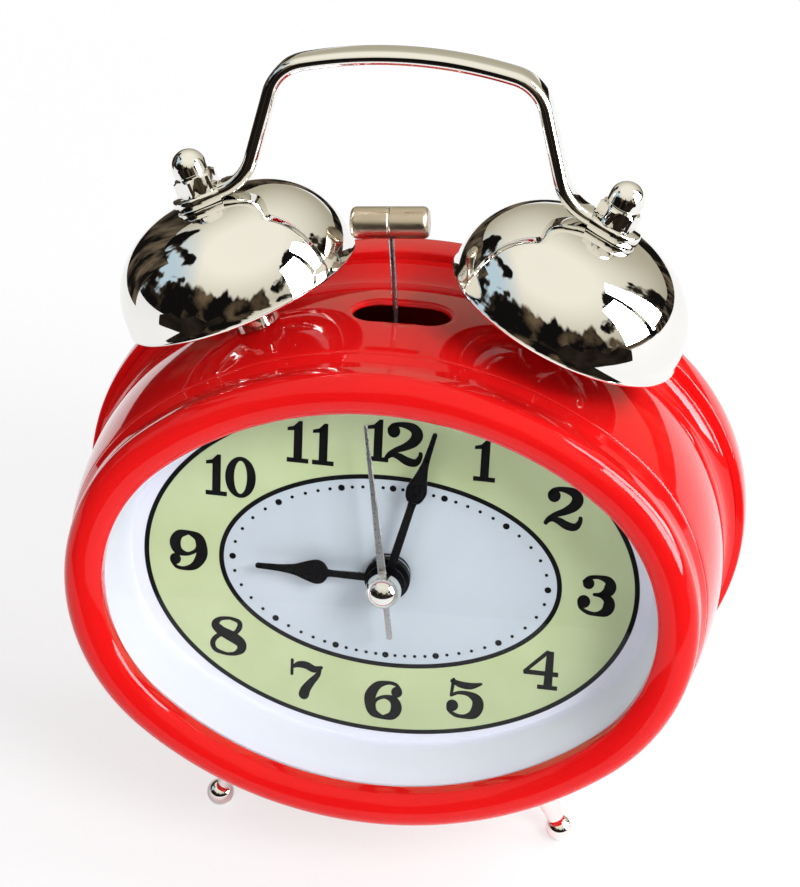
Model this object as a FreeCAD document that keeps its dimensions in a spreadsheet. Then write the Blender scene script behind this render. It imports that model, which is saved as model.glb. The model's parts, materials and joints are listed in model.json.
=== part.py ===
"""Twin bell alarm clock with an oval case, built the way it comes apart on a bench.

Every piece is drawn in the clock's own frame: X to the right, Y from the dial towards
the back, Z up the dial, with the hand shaft on the Y axis and the dial's face at Y = 0.
The finished pieces are then leaned back together until the clock stands on its two
ball feet and the lower rim of its back cover.
"""
import FreeCAD, Part
import math
import os
import Sketcher
from FreeCAD import Placement, Rotation, Vector

DRIVING = {
    # Oval case, measured to the widest line of its middle band
    "case_half_width": 60.2,
    "case_half_height": 48.2,
    "end_radius": 41.35,
    "case_rise": 0.6,
    "case_wall": 1.8,
    "wall_relief": 0.1,
    "middle_depth": 7.2,
    "seam_inset": 2.0,
    "seam_front": 7.4,
    "neck_length": 4.1,
    "band_rear": 20.5,
    "band_rear_inset": 0.3,
    "barrel_radius": 90.0,
    "skirt_step": 1.7,
    "cove_length": 5.5,
    "cove_radius": 7.0,
    "fit": 0.2,
    # Bezel, lens and dial
    "bezel_wall": 1.6,
    "bead_inset": 6.5,
    "bead_radius": 3.5,
    "bead_front": 14.0,
    "lip_length": 1.0,
    "lens_wall": 1.5,
    "surround_rear_inset": 12.0,
    "surround_front_inset": 9.6,
    "surround_wall": 1.6,
    "dial_thickness": 1.2,
    "dial_gap": 0.3,
    # Back cover
    "rim_step": 3.6,
    "rim_front_taper": 0.4,
    "rim_front": 28.5,
    "rim_taper_length": 2.5,
    "rim_rear": 36.8,
    "rim_round": 2.8,
    "rim_land": 1.5,
    "plate_thickness": 2.0,
    "plate_recess": 1.3,
    "boss_radius": 3.2,
    "boss_across": 24.0,
    "boss_upper": 20.0,
    "boss_lower": 15.0,
    "screw_radius": 1.5,
    "screw_head_radius": 2.8,
    "screw_head_height": 2.0,
    "screw_slot_width": 0.8,
    "screw_slot_depth": 0.8,
    "screw_grip": 5.0,
    "hole_play": 0.2,
    # Battery, its tub and its door
    "cell_radius": 7.25,
    "cell_length": 49.5,
    "cell_tip_radius": 2.75,
    "cell_tip_length": 1.0,
    "cell_drop": 29.6,
    "cell_play": 0.3,
    "spring_room": 3.0,
    "contact_thickness": 0.5,
    "tub_wall": 1.5,
    "door_thickness": 1.5,
    "door_margin": 1.4,
    "door_pin_radius": 0.6,
    "door_pin_length": 1.0,
    # Movement and hands
    "movement_side": 56.0,
    "movement_room": 3.0,
    "movement_depth": 16.0,
    "movement_corner": 5.0,
    "bush_radius": 3.8,
    "bush_front": 0.6,
    "pipe_wall": 0.5,
    "pipe_play": 0.1,
    "shaft_radius": 0.6,
    "minute_bore_radius": 0.8,
    "minute_pipe_wall": 0.9,
    "pipe_root": 6.0,
    "pipe_step": 1.5,
    "blade_thickness": 0.4,
    "alarm_hand_front": 1.6,
    "hour_hand_front": 2.9,
    "minute_hand_front": 4.4,
    "second_hand_front": 6.5,
    "hub_radius": 4.2,
    "minute_hub_radius": 3.6,
    "alarm_hand_length": 15.0,
    "hour_hand_length": 23.9,
    "hour_spade_at": 13.6,
    "minute_hand_length": 31.2,
    "minute_spade_at": 19.8,
    "spade_half_width": 2.2,
    "spade_tip_half_width": 0.2,
    "stem_half_width": 0.65,
    "second_hand_length": 31.2,
    "second_tail_length": 9.9,
    "second_hub_half_width": 0.8,
    "second_tip_half_width": 0.3,
    "cap_radius": 3.2,
    "cap_height": 2.3,
    "hour_angle": 271.0,
    "minute_angle": 14.5,
    "second_angle": 354.0,
    "alarm_angle": 268.5,
    # Controls on the back
    "knob_radius": 5.5,
    "knob_length": 5.0,
    "knob_chamfer": 0.6,
    "knob_across": 13.0,
    "knob_height": 6.0,
    "knob_stem_radius": 1.5,
    "knob_gap": 0.6,
    "switch_travel": 4.0,
    "switch_height": 30.0,
    "switch_half_length": 3.0,
    "switch_half_height": 1.8,
    "switch_length": 2.2,
    "switch_foot_margin": 2.0,
    "switch_foot_thickness": 1.2,
    # Bells, their posts and nuts
    "bell_across": 28.7,
    "bell_rise": 2.2,
    "bell_tilt": 23.4,
    "bell_radius": 21.6,
    "bell_depth": 17.6,
    "bell_skirt": 2.3,
    "bell_shoulder": 14.8,
    "bell_wall": 1.0,
    "post_radius": 2.0,
    "post_play": 0.2,
    "spacer_radius": 4.0,
    "seat_gap": 0.25,
    "tab_gap": 1.2,
    "nut_flats": 7.0,
    "nut_height": 3.2,
    "acorn_height": 8.0,
    "acorn_dome_radius": 3.15,
    "acorn_bore": 5.5,
    # Handle
    "handle_rise": 46.35,
    "handle_top_radius": 78.0,
    "handle_corner_across": 16.6,
    "handle_corner_radius": 7.5,
    "handle_leg_angle": 14.5,
    "handle_bend_radius": 9.5,
    "handle_width": 5.6,
    "handle_thickness": 2.5,
    "foot_pad_width": 8.6,
    "foot_pad_thickness": 2.0,
    "foot_pad_end": 5.4,
    # Hammer and its electromagnet
    "pivot_depth": 13.9,
    "hammer_lean": 4.6,
    "hammer_reach": 31.2,
    "hammer_radius": 2.7,
    "hammer_length": 13.8,
    "hammer_chamfer": 0.7,
    "arm_radius": 0.5,
    "arm_socket": 3.0,
    "lever_height": 8.5,
    "lever_width": 8.0,
    "lever_thickness": 1.2,
    "lever_boss": 2.2,
    "barrel_radius_out": 1.6,
    "pin_radius": 0.7,
    "bracket_plate": 1.2,
    "bracket_depth": 10.4,
    "bracket_half_width": 13.0,
    "bracket_tab": 9.0,
    "strip_drop": 3.3,
    "yoke_end": 18.2,
    "core_radius": 1.5,
    "core_start": 2.0,
    "core_height": 5.8,
    "coil_start": 3.4,
    "coil_flange_radius": 4.2,
    "coil_flange": 0.8,
    "winding_radius": 3.7,
    "bobbin_wall": 0.5,
    "slot_length": 18.0,
    "slot_width": 9.5,
    # Feet
    "foot_across": 33.4,
    "foot_reach": 8.0,
    "foot_depth": 8.0,
    "foot_tilt": 22.8,
    "foot_ball_radius": 2.6,
    "foot_neck_radius": 1.5,
    "foot_top_radius": 2.6,
    "foot_spigot_radius": 1.5,
    "foot_flat": 0.25,
    "rim_flat": 0.15,
}


class Size:
    """A size that knows its number and the formula that gives it in the sheet's cells."""

    def __init__(self, value, text):
        self.value = float(value)
        self.text = text

    @staticmethod
    def of(other):
        return other if isinstance(other, Size) else Size(other, "{:g}".format(other))

    def join(self, other, sign, value):
        return Size(value, "({} {} {})".format(self.text, sign, other.text))

    def __add__(self, other):
        other = Size.of(other)
        return self.join(other, "+", self.value + other.value)

    def __sub__(self, other):
        other = Size.of(other)
        return self.join(other, "-", self.value - other.value)

    def __mul__(self, other):
        other = Size.of(other)
        return self.join(other, "*", self.value * other.value)

    def __truediv__(self, other):
        other = Size.of(other)
        return self.join(other, "/", self.value / other.value)

    def __neg__(self):
        return Size(-self.value, "(0 - {})".format(self.text))

    def __radd__(self, other):
        return Size.of(other) + self

    def __rsub__(self, other):
        return Size.of(other) - self

    def __rmul__(self, other):
        return Size.of(other) * self


def root(size):
    return Size(math.sqrt(size.value), "sqrt({})".format(size.text))


def sine(angle):
    return Size(math.sin(math.radians(angle.value)), "sin({} * 1 deg)".format(angle.text))


def cosine(angle):
    return Size(math.cos(math.radians(angle.value)), "cos({} * 1 deg)".format(angle.text))


def arctangent(slope):
    return Size(math.degrees(math.atan(slope.value)), "(atan({}) / 1 deg)".format(slope.text))


doc = FreeCAD.newDocument("TwinBellAlarmClock")
sheet = doc.addObject("Spreadsheet::Sheet", "Sizes")
for row, (name, number) in enumerate(DRIVING.items(), start=1):
    sheet.set("A{}".format(row), name)
    sheet.set("B{}".format(row), str(number))
    sheet.setAlias("B{}".format(row), name)
doc.recompute()


class Cells:
    """Gives each cell of the sheet by its alias."""

    def __getattr__(self, name):
        return Size(sheet.get(name), "Sizes.{}".format(name))


s = Cells()
pieces = []


# The case's oval, with end arcs centred on X and top and bottom arcs centred on Z

END_CENTRE = s.case_half_width - s.end_radius
TOP_RADIUS = (s.case_half_width * s.case_half_width + s.case_half_height * s.case_half_height
              - s.case_half_width * s.end_radius * 2) / ((s.case_half_height - s.end_radius) * 2)
TOP_CENTRE = TOP_RADIUS - s.case_half_height
END_ANGLE = arctangent(TOP_CENTRE / END_CENTRE)

# Heights from the hand shaft that follow the case

BELL_HEIGHT = s.case_half_height + s.bell_rise
PIVOT_HEIGHT = s.case_half_height - s.pivot_depth
HANDLE_TOP = BELL_HEIGHT + s.handle_rise
FOOT_DROP = s.case_half_height + s.foot_reach


# Drawing helpers

IN_CASE = Placement(Vector(0, 0, s.case_rise.value), Rotation())


def plane_of(body, role):
    return next(f for f in body.Origin.OriginFeatures if f.Role == role)


def new_body(name, place=None):
    """A body for one piece, drawn about its own place in the clock's frame."""
    body = doc.addObject("PartDesign::Body", name)
    body.Label = name
    body.Placement = place or Placement()
    pieces.append(body)
    return body


def at(x=0, y=0, z=0, turn_about_depth=0):
    """A place in the clock's frame, turned about the Y axis by an angle in degrees."""
    numbers = [Size.of(value).value for value in (x, y, z, turn_about_depth)]
    return Placement(Vector(*numbers[:3]), Rotation(Vector(0, 1, 0), numbers[3]))


def new_sketch(body, role, name, offset=None):
    sketch = body.newObject("Sketcher::SketchObject", "{}_{}".format(body.Name, name))
    sketch.AttachmentSupport = [(plane_of(body, role), "")]
    sketch.MapMode = "FlatFace"
    if offset is not None:
        sketch.AttachmentOffset = offset
    return sketch


def bind(sketch, constraint, size):
    """Adds a constraint and ties its number to the sheet."""
    index = sketch.addConstraint(constraint)
    sketch.setExpression("Constraints[{}]".format(index), size.text)
    return index


def pin_point(sketch, geometry, end, x, y):
    """Holds a point of the sketch at x, y from the sketch's origin."""
    for kind, size, axis in (("DistanceX", x, -2), ("DistanceY", y, -1)):
        if size is None:
            continue
        if abs(size.value) < 1e-9:
            sketch.addConstraint(Sketcher.Constraint("PointOnObject", geometry, end, axis))
        else:
            bind(sketch, Sketcher.Constraint(kind, -1, 1, geometry, end, size.value), size)


def arc_between(start, end, radius, side):
    """The minor arc from start to end, with its centre on the given side of the way."""
    chord = end - start
    height = math.sqrt(max(radius * radius - chord.Length ** 2 / 4, 0))
    left = Vector(-chord.y, chord.x, 0).normalize()
    centre = (start + end) * 0.5 + left * (height * side)
    circle = Part.Circle(centre, Vector(0, 0, 1), radius)
    first, last = (start, end) if side > 0 else (end, start)
    turns = [math.atan2((p - centre).y, (p - centre).x) for p in (first, last)]
    return Part.ArcOfCircle(circle, turns[0], turns[1])


def draw_path(sketch, corners, closed=True):
    """Draws a chain of lines and arcs through corners (x, y) or (x, y, radius, side).

    A radius makes the stretch after that corner an arc. Side is +1 where its centre
    lies to the left of the way, and -1 where it lies to the right.
    """
    corners = [tuple(Size.of(value) for value in corner[:3]) + tuple(corner[3:])
               for corner in corners]
    points = [Vector(corner[0].value, corner[1].value, 0) for corner in corners]
    count = len(corners) if closed else len(corners) - 1
    ends = []
    for i in range(count):
        start, end = points[i], points[(i + 1) % len(points)]
        if len(corners[i]) == 2:
            ends.append((sketch.addGeometry(Part.LineSegment(start, end)), 1, 2))
            continue
        radius, side = corners[i][2], corners[i][3]
        index = sketch.addGeometry(arc_between(start, end, radius.value, side))
        ends.append((index, 1, 2) if side > 0 else (index, 2, 1))
    for i, (geometry, head, tail) in enumerate(ends):
        pin_point(sketch, geometry, head, corners[i][0], corners[i][1])
        if closed or i + 1 < len(ends):
            after = ends[(i + 1) % len(ends)]
            sketch.addConstraint(
                Sketcher.Constraint("Coincident", geometry, tail, after[0], after[1]))
        else:
            pin_point(sketch, geometry, tail, corners[-1][0], corners[-1][1])
    for i, (geometry, head, tail) in enumerate(ends):
        if len(corners[i]) == 2:
            continue
        chord = points[(i + 1) % len(points)] - points[i]
        if chord.Length < 1.98 * corners[i][2].value:
            bind(sketch, Sketcher.Constraint("Radius", geometry, corners[i][2].value), corners[i][2])
            continue
        after = corners[(i + 1) % len(corners)]
        middle = [(corners[i][k] + after[k]) / 2 for k in (0, 1)]
        along_x = abs(chord.y) > abs(chord.x)
        pin_point(sketch, geometry, 3, middle[0] if along_x else None,
                  None if along_x else middle[1])
    return sketch


def draw_circle(sketch, x, y, radius):
    x, y = Size.of(x), Size.of(y)
    circle = Part.Circle(Vector(x.value, y.value, 0), Vector(0, 0, 1), radius.value)
    index = sketch.addGeometry(circle)
    bind(sketch, Sketcher.Constraint("Radius", index, radius.value), radius)
    pin_point(sketch, index, 3, x, y)
    return sketch


def draw_box(sketch, left, low, right, high):
    return draw_path(sketch, [(left, low), (right, low), (right, high), (left, high)])


def draw_obround(sketch, x, y, length, width):
    """A slot with round ends, its length along the sketch's X."""
    x, y = Size.of(x), Size.of(y)
    straight = (length - width) / 2
    half = width / 2
    return draw_path(sketch, [
        (x - straight, y - half), (x + straight, y - half, half, 1),
        (x + straight, y + half), (x - straight, y + half, half, 1)])


def front_sketch(body, name, depth):
    """A sketch seen from the front, X right and Z up, at the given depth."""
    depth = Size.of(depth)
    sketch = new_sketch(body, "XZ_Plane", name, Placement(Vector(0, 0, -depth.value), Rotation()))
    sketch.setExpression("AttachmentOffset.Base.z", (-depth).text)
    return sketch


def feature(body, kind, sketch, length=None, **settings):
    """A pad, pocket or turned feature on a sketch; the length follows the sheet."""
    new = body.newObject("PartDesign::" + kind, "{}_{}".format(sketch.Name, kind))
    new.Profile = sketch
    if length is not None:
        new.setExpression("Length", Size.of(length).text)
    for name, value in settings.items():
        setattr(new, name, value)
    body.Tip = new
    doc.recompute()
    return new


def pad_back(body, sketch, length):
    """Adds material from a front sketch towards the back."""
    return feature(body, "Pad", sketch, length, Reversed=True)


def cut_back(body, sketch, length):
    """Cuts from a front sketch towards the back."""
    return feature(body, "Pocket", sketch, length)


def turn(body, sketch, axis="V_Axis"):
    return feature(body, "Revolution", sketch, ReferenceAxis=(sketch, [axis]), Angle=360.0)


def turn_axis(sketch, from_point, to_point):
    """A construction line that the sketch's section is turned about."""
    ends = [Vector(x.value, y.value, 0) for x, y in (from_point, to_point)]
    index = sketch.addGeometry(Part.LineSegment(*ends), True)
    pin_point(sketch, index, 1, *from_point)
    pin_point(sketch, index, 2, *to_point)


def part_turn(body, sketch, angle):
    """Turns a section about its construction line, half the angle to each side."""
    new = feature(body, "Revolution", sketch, ReferenceAxis=(sketch, ["Axis0"]),
                  Midplane=True)
    new.setExpression("Angle", angle.text)
    doc.recompute()
    return new


def oval_ring(name, corners):
    """A ring round the case's oval; corners are (offset from the band, depth).

    The oval is four tangent arcs, so the ring is one section turned about the centre of
    the right-hand end, another turned about the centre of the top, and both repeated
    half a turn round.
    """
    body = new_body(name, IN_CASE)
    reach = s.rim_rear
    end = new_sketch(body, "XY_Plane", "end_section")
    draw_path(end, [(s.case_half_width + corner[0],) + tuple(corner[1:]) for corner in corners])
    turn_axis(end, (END_CENTRE, Size.of(0)), (END_CENTRE, reach))
    end_turn = part_turn(body, end, END_ANGLE * 2)
    top = new_sketch(body, "YZ_Plane", "top_section")
    draw_path(top, [(corner[1], s.case_half_height + corner[0]) + flipped(corner[2:])
                    for corner in corners])
    turn_axis(top, (Size.of(0), -TOP_CENTRE), (reach, -TOP_CENTRE))
    top_turn = part_turn(body, top, 180 - END_ANGLE * 2)
    both = body.newObject("PartDesign::PolarPattern", name + "_halves")
    both.Originals = [end_turn, top_turn]
    both.Axis = (plane_of(body, "Y_Axis"), [""])
    both.Angle = 360
    both.Occurrences = 2
    body.Tip = both
    doc.recompute()
    return body


def flipped(arc):
    """The same arc when the sketch's two axes change places."""
    return (arc[0], -arc[1]) if arc else ()


def draw_oval(sketch, offset):
    """The case's oval, grown by an offset, as four tangent arcs."""
    end_radius, top_radius = s.end_radius + offset, TOP_RADIUS + offset
    across = END_CENTRE + end_radius * cosine(END_ANGLE)
    up = end_radius * sine(END_ANGLE)
    return draw_path(sketch, [
        (across, -up, end_radius, 1), (across, up, top_radius, 1),
        (-across, up, end_radius, 1), (-across, -up, top_radius, 1)])


def oval_plate(body, name, offset, depth, thickness):
    sketch = front_sketch(body, name, depth)
    draw_oval(sketch, offset)
    pad_back(body, sketch, thickness)
    return sketch


# Bezel, lens, dial surround and dial

def bezel():
    outer = s.bead_radius - s.bead_inset
    inner = -s.bead_inset - s.bead_radius
    bore = s.bead_radius - s.bezel_wall
    front = -s.bead_front
    return oval_ring("bezel", [
        (-s.seam_inset, -s.seam_front),
        (-s.seam_inset - s.bezel_wall, -s.seam_front),
        (-s.seam_inset - s.bezel_wall, -s.seam_front - s.neck_length),
        (bore - s.bead_inset, front),
        (bore / 2 - s.bead_inset, front - bore),
        (-s.bead_inset - bore / 2, front - bore),
        (-s.bead_inset - bore, front),
        (-s.bead_inset - bore, front + s.lip_length),
        (inner, front + s.lip_length),
        (inner, front, s.bead_radius, 1),
        (outer, front)])


LENS_FRONT = s.lip_length - s.bead_front
LENS_REAR = LENS_FRONT + s.lens_wall
NECK_OFFSET = -s.seam_inset - s.bezel_wall - s.fit


def lens():
    body = new_body("lens", IN_CASE)
    oval_plate(body, "face", NECK_OFFSET - s.case_wall / 2, LENS_FRONT, s.lens_wall)


def dial_surround():
    rear = -s.surround_rear_inset
    front = -s.surround_front_inset
    edge = NECK_OFFSET - s.case_wall - s.fit
    oval_ring("dial_surround", [
        (rear, 0), (front, LENS_REAR), (edge, LENS_REAR), (edge, LENS_REAR + s.surround_wall),
        (front + s.surround_wall, LENS_REAR + s.surround_wall), (rear + s.surround_wall, 0)])


def dial():
    body = new_body("dial", IN_CASE)
    oval_plate(body, "outline", -s.case_wall - s.seam_inset / 2 - s.dial_gap, 0,
               s.dial_thickness)
    hole = front_sketch(body, "shaft_hole", -1)
    draw_circle(hole, 0, -s.case_rise, s.bush_radius + s.fit)
    cut_back(body, hole, s.dial_thickness + 2)


# Case shell

SIDES = (("left", -1), ("right", 1))


def post_side(side):
    """Bell axis in the case's frame: a point at the rim's middle and the leaning turn."""
    return Placement(Vector(side * s.bell_across.value, s.middle_depth.value,
                            (BELL_HEIGHT - s.case_rise).value),
                     Rotation(Vector(0, 1, 0), side * s.bell_tilt.value))


def leg_side(side):
    """Foot axis in the case's frame, from the ball's centre up into the case."""
    return Placement(Vector(side * s.foot_across.value, s.foot_depth.value,
                            (-FOOT_DROP - s.case_rise).value),
                     Rotation(Vector(0, 1, 0), -side * s.foot_tilt.value))


def case_shell():
    neck = NECK_OFFSET
    front = -s.seam_front
    neck_front = front - s.neck_length
    skirt_start = s.band_rear + s.cove_length
    skirt_rear = s.rim_rear - s.plate_recess - s.plate_thickness
    rear = -s.band_rear_inset
    body = oval_ring("case_shell", [
        (-s.seam_inset, front, s.barrel_radius, 1),
        (rear, s.band_rear, s.cove_radius, -1),
        (s.skirt_step, skirt_start),
        (s.skirt_step, skirt_rear),
        (s.skirt_step - s.case_wall, skirt_rear),
        (s.skirt_step - s.case_wall, skirt_start + s.case_wall / 2),
        (rear - s.case_wall, s.band_rear + s.case_wall / 2),
        (-s.case_wall - s.wall_relief, s.middle_depth),
        (-s.seam_inset - s.case_wall, front + s.case_wall),
        (neck - s.case_wall, front),
        (neck - s.case_wall, neck_front),
        (neck, neck_front),
        (neck, front)])
    slot = new_sketch(body, "XY_Plane", "hammer_slot",
                      Placement(Vector(0, 0, s.case_half_height.value + 2), Rotation()))
    draw_obround(slot, 0, s.middle_depth, s.slot_length, s.slot_width)
    feature(body, "Pocket", slot, s.case_wall * 4 + 4)
    for label, side in SIDES:
        hole = new_sketch(body, "XY_Plane", label + "_post_hole", post_side(side))
        draw_circle(hole, 0, 0, s.post_radius + s.post_play)
        feature(body, "Pocket", hole, s.bell_depth)
        hole = new_sketch(body, "XY_Plane", label + "_foot_hole", leg_side(side))
        draw_circle(hole, 0, 0, s.foot_spigot_radius + s.post_play)
        feature(body, "Pocket", hole, s.bell_depth + s.bell_skirt, Reversed=True)
    return body


# Back cover, battery and controls

PLATE_REAR = s.rim_rear - s.plate_recess
PLATE_FRONT = PLATE_REAR - s.plate_thickness
MOVEMENT_FRONT = s.dial_thickness
MOVEMENT_REAR = MOVEMENT_FRONT + s.movement_depth
CELL_DEPTH = PLATE_REAR - s.door_thickness - s.cell_play - s.cell_radius
CELL_HEIGHT = -s.cell_drop - s.case_rise
TUB_HALF_HEIGHT = s.cell_radius + s.cell_play
TUB_HALF_LENGTH = (s.cell_length + s.cell_tip_length + s.spring_room) / 2 + s.contact_thickness
DOOR_HALF_LENGTH = TUB_HALF_LENGTH + s.door_margin
DOOR_HALF_HEIGHT = TUB_HALF_HEIGHT + s.door_margin
BOSSES = [(-s.boss_across, s.boss_upper), (s.boss_across, s.boss_upper),
          (-s.boss_across, -s.boss_lower), (s.boss_across, -s.boss_lower)]
KNOBS = {"time": s.knob_across, "alarm": -s.knob_across}


def box_back(body, name, depth, length, half_length, half_height, cut=False):
    """A box centred on the battery, added or cut towards the back."""
    sketch = front_sketch(body, name, depth)
    draw_box(sketch, -half_length, CELL_HEIGHT - half_height, half_length,
             CELL_HEIGHT + half_height)
    return (cut_back if cut else pad_back)(body, sketch, length)


def back_cover():
    outer = s.rim_step
    inner = s.skirt_step + s.fit
    round_front = s.rim_rear - s.rim_round
    land = outer - s.rim_round
    body = oval_ring("back_cover", [
        (inner, s.rim_front),
        (outer - s.rim_front_taper, s.rim_front),
        (outer, s.rim_front + s.rim_taper_length),
        (outer, round_front, s.rim_round, 1),
        (land, s.rim_rear),
        (land - s.rim_land, s.rim_rear),
        (land - s.rim_land, PLATE_FRONT),
        (inner, PLATE_FRONT)])
    oval_plate(body, "plate", land - s.rim_land / 2, PLATE_FRONT, s.plate_thickness)
    tub_front = CELL_DEPTH - TUB_HALF_HEIGHT
    box_back(body, "tub", tub_front - s.tub_wall, PLATE_FRONT - tub_front + s.tub_wall,
             TUB_HALF_LENGTH + s.tub_wall, TUB_HALF_HEIGHT + s.tub_wall)
    bosses = front_sketch(body, "bosses", MOVEMENT_REAR)
    for x, z in BOSSES:
        draw_circle(bosses, x, z, s.boss_radius)
    pad_back(body, bosses, PLATE_FRONT - MOVEMENT_REAR)
    box_back(body, "tub_inside", tub_front, PLATE_REAR - tub_front + 1, TUB_HALF_LENGTH,
             TUB_HALF_HEIGHT, cut=True)
    box_back(body, "door_recess", PLATE_REAR - s.door_thickness, s.door_thickness + 1,
             DOOR_HALF_LENGTH + s.fit, DOOR_HALF_HEIGHT + s.fit, cut=True)
    hinge = new_sketch(body, "YZ_Plane", "hinge_pin_holes")
    draw_circle(hinge, DOOR_HINGE_DEPTH, DOOR_HINGE_HEIGHT, s.door_pin_radius + s.fit / 2)
    feature(body, "Pocket", hinge,
            (DOOR_HALF_LENGTH + s.door_pin_length + s.fit) * 2, SideType="Symmetric")
    screws = front_sketch(body, "screw_holes", MOVEMENT_REAR - 1)
    heads = front_sketch(body, "screw_heads", PLATE_REAR - s.screw_head_height)
    for x, z in BOSSES:
        draw_circle(screws, x, z, s.screw_radius + s.hole_play)
        draw_circle(heads, x, z, s.screw_head_radius + s.hole_play)
    cut_back(body, screws, s.rim_rear - MOVEMENT_REAR + 2)
    cut_back(body, heads, s.screw_head_height + 1)
    controls = front_sketch(body, "control_holes", PLATE_FRONT - 1)
    for across in KNOBS.values():
        draw_circle(controls, across, s.knob_height - s.case_rise,
                    s.knob_stem_radius + s.hole_play)
    draw_obround(controls, 0, s.switch_height - s.case_rise,
                 s.switch_half_length * 2 + s.switch_travel + s.hole_play * 2,
                 s.switch_half_height * 2 + s.hole_play * 2)
    cut_back(body, controls, s.plate_thickness + 2)
    ground_cut(body, IN_CASE, 0, s.rim_rear - s.foot_depth, s.rim_rear / 2)


DOOR_HINGE_DEPTH = PLATE_REAR - s.door_thickness / 2
DOOR_HINGE_HEIGHT = CELL_HEIGHT - DOOR_HALF_HEIGHT + s.door_thickness / 2


def battery_door():
    """A plate that swings on two pins along its lower edge, which is rounded for it."""
    body = new_body("battery_door", IN_CASE)
    section = new_sketch(body, "YZ_Plane", "section")
    front = PLATE_REAR - s.door_thickness
    top = CELL_HEIGHT + DOOR_HALF_HEIGHT
    draw_path(section, [
        (front, DOOR_HINGE_HEIGHT, s.door_thickness / 2, 1),
        (PLATE_REAR, DOOR_HINGE_HEIGHT),
        (PLATE_REAR, top),
        (front, top)])
    feature(body, "Pad", section, DOOR_HALF_LENGTH * 2, SideType="Symmetric")
    pins = new_sketch(body, "YZ_Plane", "pins")
    draw_circle(pins, DOOR_HINGE_DEPTH, DOOR_HINGE_HEIGHT, s.door_pin_radius)
    feature(body, "Pad", pins, (DOOR_HALF_LENGTH + s.door_pin_length) * 2,
            SideType="Symmetric")
    notch = new_sketch(body, "XY_Plane", "thumb_notch",
                       Placement(Vector(0, 0, top.value + 1), Rotation()))
    draw_circle(notch, 0, PLATE_REAR + s.door_thickness * 3, s.door_thickness * 3.6)
    feature(body, "Pocket", notch, s.door_thickness * 2 + 1)
    return body


def battery():
    body = new_body("battery", IN_CASE)
    half = (s.cell_length + s.cell_tip_length) / 2
    section = new_sketch(body, "XY_Plane", "section",
                         Placement(Vector(0, CELL_DEPTH.value, CELL_HEIGHT.value), Rotation()))
    start = s.spring_room / 2 - half
    draw_path(section, [
        (start, 0), (start + s.cell_length + s.cell_tip_length, 0),
        (start + s.cell_length + s.cell_tip_length, s.cell_tip_radius),
        (start + s.cell_length, s.cell_tip_radius),
        (start + s.cell_length, s.cell_radius), (start, s.cell_radius)])
    turn(body, section, "H_Axis")
    return body


def contact_plate(name, left):
    """A square plate that stands at one end of the tub."""
    side = s.cell_radius * 1.4
    plate = doc.addObject("Part::Box", name)
    plate.Label = name
    plate.setExpression("Length", s.contact_thickness.text)
    plate.setExpression("Width", side.text)
    plate.setExpression("Height", side.text)
    corner = at(left, CELL_DEPTH - side / 2, CELL_HEIGHT - side / 2)
    plate.Placement = IN_CASE.multiply(corner)
    pieces.append(plate)


def battery_contacts():
    """A flat plate at the cell's tip and a bent leaf that presses on its base."""
    contact_plate("positive_contact", TUB_HALF_LENGTH - s.contact_thickness)
    leaf = new_body("negative_contact", IN_CASE.multiply(at(-TUB_HALF_LENGTH, CELL_DEPTH,
                                                            CELL_HEIGHT)))
    side = s.cell_radius * 0.7
    thick = s.contact_thickness
    tip = s.spring_room + thick - s.fit / 4
    strip = new_sketch(leaf, "XY_Plane", "strip")
    draw_path(strip, [
        (0, -side), (thick, -side), (thick, side - thick * 2), (tip - thick, 0),
        (tip - thick, -side / 2), (tip, -side / 2), (tip, thick / 2), (thick, side), (0, side)])
    feature(leaf, "Pad", strip, side, SideType="Symmetric")


def case_screws():
    """Four long screws that clamp the back cover to the movement."""
    body = new_body("case_screws", IN_CASE)
    shanks = front_sketch(body, "shanks", MOVEMENT_REAR - s.screw_grip)
    heads = front_sketch(body, "heads", PLATE_REAR - s.screw_head_height)
    slots = front_sketch(body, "slots", PLATE_REAR - s.screw_slot_depth)
    reach, half = s.screw_head_radius + s.fit, s.screw_slot_width / 2
    for x, z in BOSSES:
        draw_circle(shanks, x, z, s.screw_radius)
        draw_circle(heads, x, z, s.screw_head_radius)
        draw_box(slots, x - reach, z - half, x + reach, z + half)
    pad_back(body, shanks, PLATE_REAR - MOVEMENT_REAR + s.screw_grip)
    pad_back(body, heads, s.screw_head_height)
    cut_back(body, slots, s.screw_slot_depth + 1)
    return body


def control_knobs():
    for label, across in KNOBS.items():
        name = label + "_knob"
        body = new_body(name)
        back = PLATE_REAR + s.knob_gap
        start = MOVEMENT_REAR - s.pipe_root
        edge = s.knob_chamfer
        section = new_sketch(body, "XY_Plane", "section")
        draw_path(section, [
            (0, start), (s.knob_stem_radius, start), (s.knob_stem_radius, back),
            (s.knob_radius, back), (s.knob_radius, back + s.knob_length - edge),
            (s.knob_radius - edge, back + s.knob_length), (0, back + s.knob_length)])
        turn(body, section)
        body.Placement = Placement(Vector(across.value, 0, s.knob_height.value), Rotation())


def alarm_switch():
    """A sliding button with a foot that keeps it behind the cover's slot."""
    body = new_body("alarm_switch")
    gap = s.fit
    foot = front_sketch(body, "foot", PLATE_FRONT - gap - s.switch_foot_thickness)
    reach = s.switch_half_length + s.switch_travel + s.switch_foot_margin
    tall = s.switch_half_height + s.switch_foot_margin
    draw_box(foot, -reach, -tall, reach, tall)
    pad_back(body, foot, s.switch_foot_thickness)
    button = front_sketch(body, "button", PLATE_FRONT - gap)
    draw_obround(button, 0, 0, s.switch_half_length * 2, s.switch_half_height * 2)
    pad_back(body, button, gap + s.plate_thickness + s.switch_length)
    body.Placement = Placement(Vector((-s.switch_travel / 2).value, 0, s.switch_height.value),
                               Rotation())


# Movement and hands

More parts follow.
